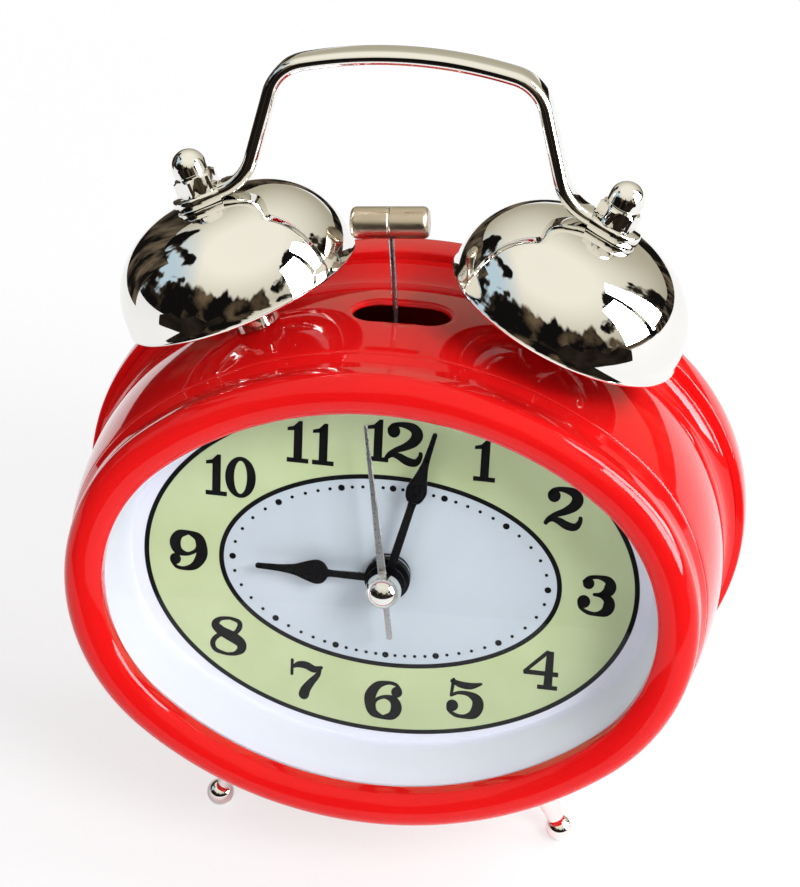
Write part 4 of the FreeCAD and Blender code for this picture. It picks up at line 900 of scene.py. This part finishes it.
class BuildNumerals(ClockBuilder, Operator):
    """Print the numerals 1 to 12 on the luminous oval"""
    bl_idname = "clock.build_numerals"
    bl_label = "Numerals"

    def execute(self, context):
        dial = Sizes(context, "clock_dial")
        height = dial.numeral_height
        meshes = []
        for hour in range(1, 13):
            c, s = cos(radians(hour * 30)), sin(radians(hour * 30))
            reach = 1 / hypot(s / dial.numeral_across, c / dial.numeral_up)
            drawn = [glyph(letter, FLAT / height) for letter in str(hour)]
            space = SPACES.get(hour, 0)
            start = -(sum(wide for _, wide in drawn) + space * (len(drawn) - 1)) / 2
            aside, up = NUDGES.get(hour, (0, 0))
            spot = move(reach * s + aside, -FLAT, reach * c + up) @ Matrix.Diagonal(
                (height * dial.numeral_narrow, height, height, 1))
            for mesh, wide in drawn:
                meshes.append(placed(mesh, spot @ move(start, 0, -0.5)))
                start += wide + space
        dress("dial_numerals", joined(*meshes), "dial_ink", place=printed(dial))
        return {"FINISHED"}


def new_group(name, **inputs):
    """An empty geometry node group, its nodes, and a function that gives an input's wire."""
    group = bpy.data.node_groups.new(name, "GeometryNodeTree")
    group.interface.new_socket(name="Geometry", in_out="OUTPUT",
                               socket_type="NodeSocketGeometry")
    for key, kind in {"Geometry": "Geometry", **inputs}.items():
        group.interface.new_socket(name=key, in_out="INPUT", socket_type="NodeSocket" + kind)
    nodes = Nodes(group)
    return group, nodes, lambda key: nodes.add("NodeGroupInput", out=key)


def end_group(nodes, geometry, material):
    nodes.add("NodeGroupOutput", Geometry=nodes.add("GeometryNodeSetMaterial", Geometry=geometry,
                                                    Material=material))


def grown(group, base, values):
    """The plain mesh that a node group makes of a base mesh with the given inputs."""
    obj = shown(group.name, base)
    modifier = obj.modifiers.new(group.name, "NODES")
    modifier.node_group = group
    for item in group.interface.items_tree:
        if item.in_out == "INPUT" and item.name in values:
            modifier[item.identifier] = values[item.name]
    mesh = evaluated(obj)
    bpy.data.objects.remove(obj)
    bpy.data.meshes.remove(base)
    return mesh


class BuildDots(ClockBuilder, Operator):
    """Print the sixty minute dots along the inner ring, each fifth one larger"""
    bl_idname = "clock.build_dots"
    bl_label = "Minute dots"

    def execute(self, context):
        dial = Sizes(context, "clock_dial")
        group, nodes, given = new_group("minute_dots", Count="Int", Across="Float", Up="Float",
                                        Dot="Float", Hour_Dot="Float", Ink="Material")
        angle = nodes.add("GeometryNodeInputIndex") * tau / given("Count")
        aside, along = angle.math("SINE", angle), angle.math("COSINE", angle)
        reach = 1 / ((aside / given("Across")) ** 2 + (along / given("Up")) ** 2) ** 0.5
        spots = nodes.add("GeometryNodeSetPosition", Geometry=nodes.add(
            "GeometryNodeMeshLine", Count=given("Count")), Position=nodes.add(
                "ShaderNodeCombineXYZ", X=aside * reach, Y=0.0, Z=along * reach))
        fifth = (nodes.add("GeometryNodeInputIndex") % 5) < 0.5
        size = given("Dot") + fifth * (given("Hour_Dot") - given("Dot"))
        disc = nodes.add("GeometryNodeMeshCylinder", Vertices=24, Radius=1.0, Depth=FLAT)
        dots = nodes.add("GeometryNodeInstanceOnPoints", Points=spots, Instance=disc,
                         Rotation=(pi / 2, 0.0, 0.0),
                         Scale=nodes.add("ShaderNodeCombineXYZ", X=size, Y=size, Z=1.0))
        end_group(nodes, nodes.add("GeometryNodeRealizeInstances", Geometry=dots), given("Ink"))
        mesh = grown(group, bpy.data.meshes.new("dots"), {
            "Count": 60, "Across": dial.dots_across, "Up": dial.dots_up, "Dot": dial.dot,
            "Hour_Dot": dial.hour_dot, "Ink": MATERIALS["dial_ink"]})
        dress("dial_dots", mesh, "dial_ink",
              place=printed(dial) @ move(y=-FLAT * 1.5))
        return {"FINISHED"}


# Hands

class BuildHands(ClockBuilder, Operator):
    """Press the spade hour and minute hands, the second hand and its cap"""
    bl_idname = "clock.build_hands"
    bl_label = "Hands"

    def execute(self, context):
        hands = Sizes(context, "clock_hands")
        thick = hands.thickness
        hour = ((3.0, .72), (7.0, .7), (10.5, .7), (11.1, 1.2), (11.8, 2.05), (13.1, 2.45),
                (14.9, 1.95), (17.0, 1.15), (19.3, .75), (21.8, .6), (23.9, .54))
        minute = ((2.6, .8), (9.0, .78), (16.6, .75), (17.5, 1.15), (18.3, 1.6), (19.8, 1.9),
                  (21.2, 1.6), (22.4, 1.25), (25.3, .7), (29.0, .5), (31.4, .44))
        needle = ((0, .8), (12, .62), (24, .42), (32.1, .3))
        tail = ((-9.9, .55), (-5, .55), (0, .7))

        def blade(knots, front, edge):
            return stroke([(0, up, half) for up, half in knots], front, thick, edge=edge)

        for name, knots, front, hub, bore, angle in (
                ("hour_hand", hour, -2.9, 4.2, 1.9, hands.hour_angle),
                ("minute_hand", minute, -4.4, 3.6, 0.9, hands.minute_angle)):
            disc = panel([circle(hub, 64), circle(bore, 32)], front, thick, 0.08)
            dress(name + "_spade", joined(blade(knots, front, 0.12), disc),
                  "black_enamel", name, name + "_body", CLOCK @ about("Y", angle))
        whole = joined(blade(needle, -6.5, 0.1), blade(tail, -6.5, 0.1),
                       panel([circle(2.4, 48)], -6.5, thick, 0.08))
        turned = CLOCK @ about("Y", hands.second_angle)
        dress("second_hand_needle", whole, "satin_silver", "second_hand",
              "second_hand_body", turned)
        dome = [(0, 10.3), *arc((0, 10.3), (3.3, 7.05), 3.3, 1, 20), (3.25, 6.6), (3.1, 6.5),
                (0, 6.5)]
        dress("second_hand_dome", lathe(dome, 64, loop=False), "chrome_plate",
              "second_hand_cap", "second_hand_body", turned @ about("X", pi / 2))
        return {"FINISHED"}


# Bells, nuts and handle

def bell_place(bells, side, height=0.0):
    """The leaning frame of a bell, its z axis out through the cap nut."""
    return (CLOCK @ move(side * bells.across, bells.middle, bells.rise)
            @ about("Y", side * bells.tilt) @ move(z=height))


SIDES = {"left": -1, "right": 1}
NUT_TURN = {"left": 25, "right": 8}
# Thickness of the handle's foot pads under the nuts, and radius of the hole in each bell.
PAD = 2.0
BELL_HOLE = 2.2


class BuildBells(ClockBuilder, Operator):
    """Spin the two chromed bells with a rolled lip"""
    bl_idname = "clock.build_bells"
    bl_label = "Bells"

    def execute(self, context):
        bells = Sizes(context, "clock_bells")
        across, rise = bells.radius - bells.shoulder, bells.depth - bells.skirt
        crown = (across ** 2 + rise ** 2 - bells.shoulder ** 2) / (2 * (rise - bells.shoulder))
        lean = asin(across / (crown - bells.shoulder))

        def run(grown):
            """The sheet's line from the hole to the skirt, moved out by an amount."""
            first = pi / 2 - asin(BELL_HOLE / (crown + grown))
            return (fan((0, bells.depth - crown), crown + grown, first, pi / 2 - lean - first, 10)
                    + fan((across, bells.skirt), bells.shoulder + grown, pi / 2 - lean,
                          lean - pi / 2, 24, skip=1))

        lip = bells.wall / 2
        rim = [(bells.radius, 0.9), (bells.radius + 0.15, 0.55)]
        rim += [(bells.radius - lip + (lip + 0.15) * cos(a), lip * (1 - sin(a)))
                for a in EIGHTHS]
        profile = [*run(0), *rim, (bells.radius - bells.wall, 0.6), *run(-bells.wall)[::-1]]
        for label, side in SIDES.items():
            dress("bell_shell_" + label, lathe(profile, 160), "chrome_plate",
                  "bell_" + label, place=bell_place(bells, side))
        return {"FINISHED"}


def hex_reach(angle, flats):
    """From a hexagon's centre out to its side, in a direction."""
    return flats / 2 / cos(remainder(angle - pi / 6, pi / 3))


def nut_mesh(flats, height):
    """A hexagon whose corners are turned down at both ends."""
    rings = []
    for up, limit in ((0, flats / 2 - 0.1), (0, flats / 2), (0.35, flats), (height - 0.35, flats),
                      (height, flats / 2)):
        rings.append([Vector((x, y, 0)) * min(hex_reach(atan2(y, x), flats), limit)
                      + Vector((0, 0, up)) for x, y in circle(1, 72)])
    return skin(rings, caps=True)


class BuildNuts(ClockBuilder, Operator):
    """Turn the domed cap nuts that hold the bells and the handle"""
    bl_idname = "clock.build_nuts"
    bl_label = "Cap nuts"

    def execute(self, context):
        bells = Sizes(context, "clock_bells")
        dome = [(0, 3.0), (2.9, 3.0), (2.9, 3.6), (3.15, 3.75), (3.15, 4.85),
                *arc((3.15, 4.85), (0, 8.0), 3.15, -1, 14)]
        for label, side in SIDES.items():
            hexagon = placed(nut_mesh(6.9, 3.2), about("Z", radians(NUT_TURN[label])))
            dress("cap_nut_dome_" + label, joined(hexagon, lathe(dome, 64, loop=False)),
                  "chrome_plate", "cap_nut_" + label,
                  place=bell_place(bells, side, bells.depth + PAD))
        return {"FINISHED"}


class BuildHandle(ClockBuilder, Operator):
    """Bend the carrying handle out of one strip, with a flat foot under each cap nut"""
    bl_idname = "clock.build_handle"
    bl_label = "Handle"

    def execute(self, context):
        bells, size = Sizes(context, "clock_bells"), Sizes(context, "clock_handle")
        line, back = handle_line(bells, size)
        half = size.width / 2
        section = [(out, bells.middle + depth)
                   for out, depth in box_outline(size.thickness / 2, half, size.edge_round)]
        mirrored = [((-x, z), (wx, -wz)) for (x, z), (wx, wz) in reversed(line)]
        meshes = [sweep(mirrored + line[1:], section)]
        wide, end = 4.3, 1.1
        for side in SIDES.values():
            outline = fan((end, 0), wide, -pi / 2, pi, 24)
            outline += [(back + 5.0, wide), (back + 2.0, 3.6), (back, half), (back, -half),
                        (back + 2.0, -3.6), (back + 5.0, -wide)]
            pad = skin([[Vector((x * side * k, y * k, z)) for x, y in outline] for k, z in (
                (0.96, 0), (1, 0.25), (1, 1.6), (0.985, 1.85), (0.95, PAD))], caps=True)
            meshes.append(placed(pad, CLOCK.inverted() @ bell_place(bells, side, bells.depth)))
        dress("handle_strip", joined(*meshes), "chrome_plate", "handle", sharp=50)
        return {"FINISHED"}


def spoke(angle, radius):
    return Vector((cos(angle), sin(angle))) * radius


def handle_line(bells, size):
    """Points and directions from the crown's middle to the right foot, and the foot's start."""
    leg, tilt, bend = size.leg, bells.tilt, size.bend_radius
    crown = Vector((0, size.top - size.thickness / 2 - size.top_radius))
    reach = size.top_radius - size.corner_radius
    across = size.corner_across
    corner = Vector((across, crown.y + sqrt(reach ** 2 - across ** 2)))
    second = corner + spoke(leg, size.corner_radius)
    height = bells.depth + size.thickness / 2
    above = (second.x - bells.across) * sin(tilt) + (second.y - bells.rise) * cos(tilt)
    run = (above - height - bend * (1 - sin(leg + tilt))) / cos(leg + tilt)
    hub = second + spoke(leg - pi / 2, run) + spoke(leg, bend)
    away = hub - Vector((sin(tilt), cos(tilt))) * bend - Vector((bells.across, bells.rise))
    split = atan2(corner.y - crown.y, corner.x)
    line = []
    for centre, radius, start, end, steps, sign in (
            (crown, size.top_radius, pi / 2, split, 16, 1),
            (corner, size.corner_radius, split, leg, 12, 1),
            (hub, bend, pi + leg, pi * 1.5 - tilt, 12, -1)):
        for k in range(steps + 1):
            a = start + (end - start) * k / steps
            line.append((tuple(centre + spoke(a, radius)), (sign * sin(a), -sign * cos(a))))
    return line, away.x * cos(tilt) - away.y * sin(tilt)


# Hammer, feet and controls

# From the shaft up to the hammer's pivot, from there to the head's axis, and its lean in degrees.
PIVOT_RISE = 34.3
ARM = 31.06
SWUNG = 4.6


class BuildHammer(ClockBuilder, Operator):
    """Turn the hammer's head"""
    bl_idname = "clock.build_hammer"
    bl_label = "Hammer"

    def execute(self, context):
        bells = Sizes(context, "clock_bells")
        half, radius = 6.9, 2.84
        profile = rounded([(0, -half), (radius, -half, 1.0), (radius, -0.25), (radius - 0.18, 0),
                           (radius, 0.25), (radius, half, 1.0), (0, half)], closed=False)
        swing = CLOCK @ move(0, bells.middle, PIVOT_RISE) @ about("Y", -radians(SWUNG))
        dress("hammer_barrel", lathe(profile, 72, loop=False), "hammer_nickel",
              "hammer_head", "hammer_body", swing @ move(z=ARM) @ about("Y", pi / 2))
        return {"FINISHED"}


class BuildFeet(ClockBuilder, Operator):
    """Turn the two front feet, each a tapering peg that ends in a ball"""
    bl_idname = "clock.build_feet"
    bl_label = "Feet"

    def execute(self, context):
        feet = Sizes(context, "clock_controls")
        neck = asin(1.5 / feet.ball)
        profile = fan((0, 0), feet.ball, -pi / 2, pi - neck, 24)
        profile += rounded([(1.5, 2.3), (1.62, 3.2, 0.6), (2.6, 9.6, 0.3), (2.6, 11.0),
                            (1.5, 11.4), (1.5, 13.0), (0, 13.0)], closed=False)[1:]
        for label, side in SIDES.items():
            place = (CLOCK @ move(side * feet.foot_across, feet.foot_depth, -feet.foot_drop)
                     @ about("Y", -side * feet.foot_tilt))
            dress("foot_peg_" + label, above_ground(lathe(profile, 72, loop=False), place),
                  "chrome_plate", "foot_" + label, place=None)
        return {"FINISHED"}


class BuildControls(ClockBuilder, Operator):
    """Mould the two ribbed setting knobs"""
    bl_idname = "clock.build_controls"
    bl_label = "Controls"

    def execute(self, context):
        size = Sizes(context, "clock_controls")
        group, nodes, given = new_group("knob_ribs", Count="Int", Radius="Float", Length="Float",
                                        Rib="Float", Plastic="Material")
        ring = nodes.add("GeometryNodeMeshCircle", Vertices=given("Count"),
                         Radius=given("Radius"))
        rib = nodes.add("GeometryNodeMeshCylinder", Vertices=10, Radius=given("Rib"),
                        Depth=given("Length"))
        both = nodes.add("GeometryNodeJoinGeometry", Geometry=nodes.add(
            "GeometryNodeRealizeInstances", Geometry=nodes.add(
                "GeometryNodeInstanceOnPoints", Points=ring, Instance=rib)))
        nodes.tree.links.new(given("Geometry").socket, both.socket.node.inputs[0])
        end_group(nodes, both, given("Plastic"))
        radius = size.knob_radius
        profile = rounded([(0, -24.9), (1.5, -24.9), (1.5, -2.5), (radius - 0.9, -2.5, 0.3),
                           (radius - 0.3, -1.9), (radius - 0.3, 1.7), (radius - 1.0, 2.5, 0.4),
                           (1.0, 2.1, 0.6), (0, 2.1)], closed=False)
        for name, across in KNOBS.items():
            mesh = grown(group, lathe(profile, 72, loop=False), {
                "Count": size.ribs, "Radius": radius - 0.32, "Length": 3.6, "Rib": 0.3,
                "Plastic": MATERIALS["black_plastic"]})
            dress(name + "_grip", mesh, "black_plastic", name, name + "_body",
                  CLOCK @ move(across, 38.6, KNOB_RISE) @ about("X", -pi / 2))
        return {"FINISHED"}


# Pieces that keep their built shape, by finish.
KEPT = {
    "zinc_steel": ("hammer_arm", "hammer_lever", "striker_frame", "pivot_pin", "coil_core",
                   "case_screws", "positive_contact", "negative_contact", "lock_nut_left",
                   "lock_nut_right", "second_shaft", "bell_post_left", "bell_post_right"),
    "black_plastic": ("coil_bobbin", "alarm_switch", "movement"),
    "brass_pipe": ("hour_pipe", "minute_pipe", "alarm_pipe"),
    "chrome_plate": ("bell_spacer_left", "bell_spacer_right"),
    "copper_wire": ("coil_winding",),
    "battery_sleeve": ("battery",),
    "red_case": ("battery_door",),
    "satin_silver": ("alarm_hand",),
    "clear_lens": ("lens",),
}


class FinishInside(ClockBuilder, Operator):
    """Finish the pieces that keep their built shape: the insides, the lens and small parts"""
    bl_idname = "clock.finish_inside"
    bl_label = "Kept pieces"

    def execute(self, context):
        for material, names in KEPT.items():
            for name in names:
                for slot in frame["nodes"][name].material_slots:
                    slot.material = MATERIALS[material]
        return {"FINISHED"}


# Studio

def lamp(name, spot, size, power):
    """A square soft lamp that looks at the clock's middle and isn't mirrored."""
    light = bpy.data.lights.new(name, "AREA")
    light.size = size
    light.energy = power
    obj = shown(name, light)
    obj.location = spot
    middle = Vector((0, 0, 0.05))
    obj.rotation_euler = (middle - Vector(spot)).to_track_quat("-Z", "Y").to_euler()
    obj.visible_glossy = False


def mirrored_card(name, posts, finish):
    """A standing card that only mirrors and glass show, along posts of (x, y, foot, top)."""
    mesh = bpy.data.meshes.new(name)
    points = [(x, y, end) for x, y, *ends in posts for end in ends]
    mesh.from_pydata(points, [], [(i, i + 2, i + 3, i + 1) for i in range(0, len(points) - 2, 2)])
    mesh.materials.append(finish)
    card = shown(name, mesh)
    card.visible_camera = False
    card.visible_diffuse = False
    card.visible_shadow = False


def glowing(name, scale, colours, strength=1.0, low=0.0, stretch=(1, 1, 1)):
    """A card's finish, which glows in patches of two colours."""
    material, nodes = new_material(name)
    tone = nodes.spread(nodes.noise(scale, stretch=stretch), low)
    nodes.finish(nodes.shine("Emission", nodes.blend(tone, colours), strength))
    return material


def floor():
    """A floor that is partly plain white to sight and mirrors, and wholly so further out,
    where no shadow falls. Mirrors see the shade under the clock deeper."""
    mesh = prism(circle(0.9, 96), 0, 0.001)
    mesh.transform(move(0, 0.1, -0.001) @ about("X", pi / 2))
    material, nodes = new_material("white_floor")
    seen = nodes.add("ShaderNodeLightPath", out="Is Camera Ray")
    mirrored = seen.other("Is Glossy Ray").most(seen.other("Is Transmission Ray"))
    card = nodes.add("ShaderNodeBsdfDiffuse", Color=nodes.blend(
        nodes.spread(nodes.noise(300)), ((0.94, 0.95, 0.97), (0.96, 0.97, 0.985))))
    away = nodes.add("ShaderNodeVectorMath", {"operation": "LENGTH"}, out="Value",
                     Vector=nodes.add("ShaderNodeTexCoord", out="Object"))
    plain = nodes.remap(away, 0.1, 0.34, 0.72, 1.0)
    shade = nodes.remap(away, 0.07, 0.16, 0.2, 0.8)
    nodes.finish(nodes.mix(seen * plain + mirrored * shade, card,
                           nodes.shine("Emission", (1, 1, 1))))
    mesh.materials.append(material)
    shown("floor", mesh)


def room(scene):
    """White to the eye and plain soft light; mirrors see a pale room with a dim front."""
    world = bpy.data.worlds.new("studio")
    world.use_nodes = True
    scene.world = world
    sky = Nodes(world.node_tree)
    up = sky.add("ShaderNodeSeparateXYZ", out="Z",
                 Vector=sky.add("ShaderNodeTexCoord", out="Generated"))
    across, ahead = up.other("X"), up.other("Y")
    streaks = sky.noise(4.0, 2.5, (1.0, 0.3, 0.3), "Generated")
    patches = sky.noise(3.2, 3.0, (1.0, 0.6, 0.6), "Generated")
    front = sky.remap(ahead + 0.50 + (streaks - 0.5) * 1.7, -0.03, 0.05)
    crown = sky.remap(up + (streaks - 0.5) * 0.9, 0.48, 0.56)
    level = up + 0.045 + (patches - 0.5) * 0.1
    horizon = sky.remap(level.math("ABSOLUTE", level) + ahead.most(0.0) * 0.35, 0.05, 0.075)
    flank = sky.remap(across.math("ABSOLUTE", across), 0.35, 0.75)
    gaps = sky.remap(patches - flank * 0.52, 0.0, 0.04)
    pale = sky.shine("Background", sky.blend(sky.remap(up, 0.0, 0.85), (
        (0.46, 0.425, 0.32), (0.99, 0.95, 0.83))))
    cool = sky.shine("Background", (0.62, 0.80, 0.92), 0.85)
    dim = sky.shine("Background", sky.blend(sky.remap(patches, 0.48, 0.75), (
        (0.006, 0.005, 0.005), (0.17, 0.12, 0.07))))
    mirrored = sky.mix(front.most(crown).least(horizon).least(gaps), dim,
                       sky.mix(sky.remap(across, -0.55, -0.85), pale, cool))
    glossy = sky.add("ShaderNodeLightPath", out="Is Glossy Ray")
    lit = sky.mix(glossy, sky.shine("Background", (0.98, 0.99, 1.0), 0.40), mirrored)
    sky.finish(sky.mix(glossy.other("Is Camera Ray"), lit, sky.shine("Background", (1, 1, 1))),
               "World")


def dark_card():
    """A low dark card in front, which the lens and the bells mirror as a dim room."""
    tops = (0.06, 0.10, 0.08, 0.12, 0.09, 0.13, 0.10, 0.14, 0.10, 0.12, 0.08, 0.11, 0.07)
    ring = fan((0, 0.05), 0.34, radians(-150), radians(120), len(tops) - 1)
    mirrored_card("dark_card", [(x, y, 0.001, top) for (x, y), top in zip(ring, tops)],
                  glowing("dark_card", 14, ((0.004, 0.0035, 0.003), (0.03, 0.022, 0.016))))


def back_card():
    """A low dim card behind, which draws the dark line along the bells' upper edges."""
    posts = []
    for index in range(15):
        way = radians(8 + 164 * index / 14)
        extra = 0.5 * max(0, cos(way)) ** 1.5
        top = 0.052 + extra * 0.13 + max(0, -cos(way)) ** 1.5 * 0.2 + 0.01 * (index % 3)
        posts.append((*spoke(way, 0.33 + extra), 0.001, top))
    mirrored_card("back_card", posts, glowing(
        "back_card", 22, ((0.008, 0.007, 0.006), (0.20, 0.15, 0.10)), low=-0.6,
        stretch=(1, 1, 0.4)))


def window_card():
    """A narrow bright window to the right, which draws the white lines along the red edges."""
    bright = glowing("window_card", 9, ((0.9, 0.94, 1.0), (1.0, 1.0, 1.0)), strength=22.0)
    for index, (start, end, top) in enumerate(((23, 5, 1.15), (0, -27, 0.9))):
        mirrored_card(f"window_pane_{index + 1}", [(*spoke(radians(way), 0.9), 0.08, top)
                                                   for way in (start, end)], bright)


class BuildStudio(ClockBuilder, Operator):
    """Set up the white floor, the soft lamps, the surroundings and the camera"""
    bl_idname = "clock.build_studio"
    bl_label = "Studio"

    def execute(self, context):
        studio, scene = Sizes(context, "clock_studio"), context.scene
        floor()
        room(scene)
        dark_card()
        back_card()
        window_card()
        lamp("front", (0.72, -0.55, 0.95), 0.45, 11.3)
        lamp("key", (0.75, 0.25, 0.75), 0.5, 5.0)
        lamp("fill", (-0.4, -0.9, 0.6), 0.6, 1.6)
        camera = bpy.data.cameras.new("camera")
        camera.lens = studio.focal
        camera.sensor_width = 36
        camera.clip_start = 0.01
        obj = shown("camera", camera)
        obj.location = studio.camera_at
        obj.rotation_euler = studio.camera_turn
        scene.camera = obj
        scene.view_settings.view_transform = "Standard"
        return {"FINISHED"}


STEPS = (BuildShell, BuildBezel, BuildCover, BuildDial, BuildNumerals, BuildDots, BuildHands,
         BuildBells, BuildNuts, BuildHandle, BuildHammer, BuildFeet, BuildControls, FinishInside,
         BuildStudio)


class ClockPanel(Panel):
    """The clock's sizes and the buttons that build its pieces"""
    bl_idname = "VIEW3D_PT_clock"
    bl_label = "Twin bell alarm clock"
    bl_space_type = "VIEW_3D"
    bl_region_type = "UI"
    bl_category = "Clock"

    def draw(self, context):
        for name in SETTINGS:
            box = self.layout.box()
            group = getattr(context.scene, name)
            for key in group.__annotations__:
                box.prop(group, key)
        for step in STEPS:
            self.layout.operator(step.bl_idname)


CLASSES = (*SETTINGS.values(), *STEPS, ClockPanel)


def register():
    for cls in CLASSES:
        bpy.utils.register_class(cls)
    for name, group in SETTINGS.items():
        setattr(bpy.types.Scene, name, PointerProperty(type=group))


def unregister():
    for name in SETTINGS:
        delattr(bpy.types.Scene, name)
    for cls in reversed(CLASSES):
        bpy.utils.unregister_class(cls)


def main():
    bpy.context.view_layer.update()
    register()
    make_materials()
    for step in STEPS:
        family, name = step.bl_idname.split(".")
        getattr(getattr(bpy.ops, family), name)()


if __name__ == "__main__":
    main()
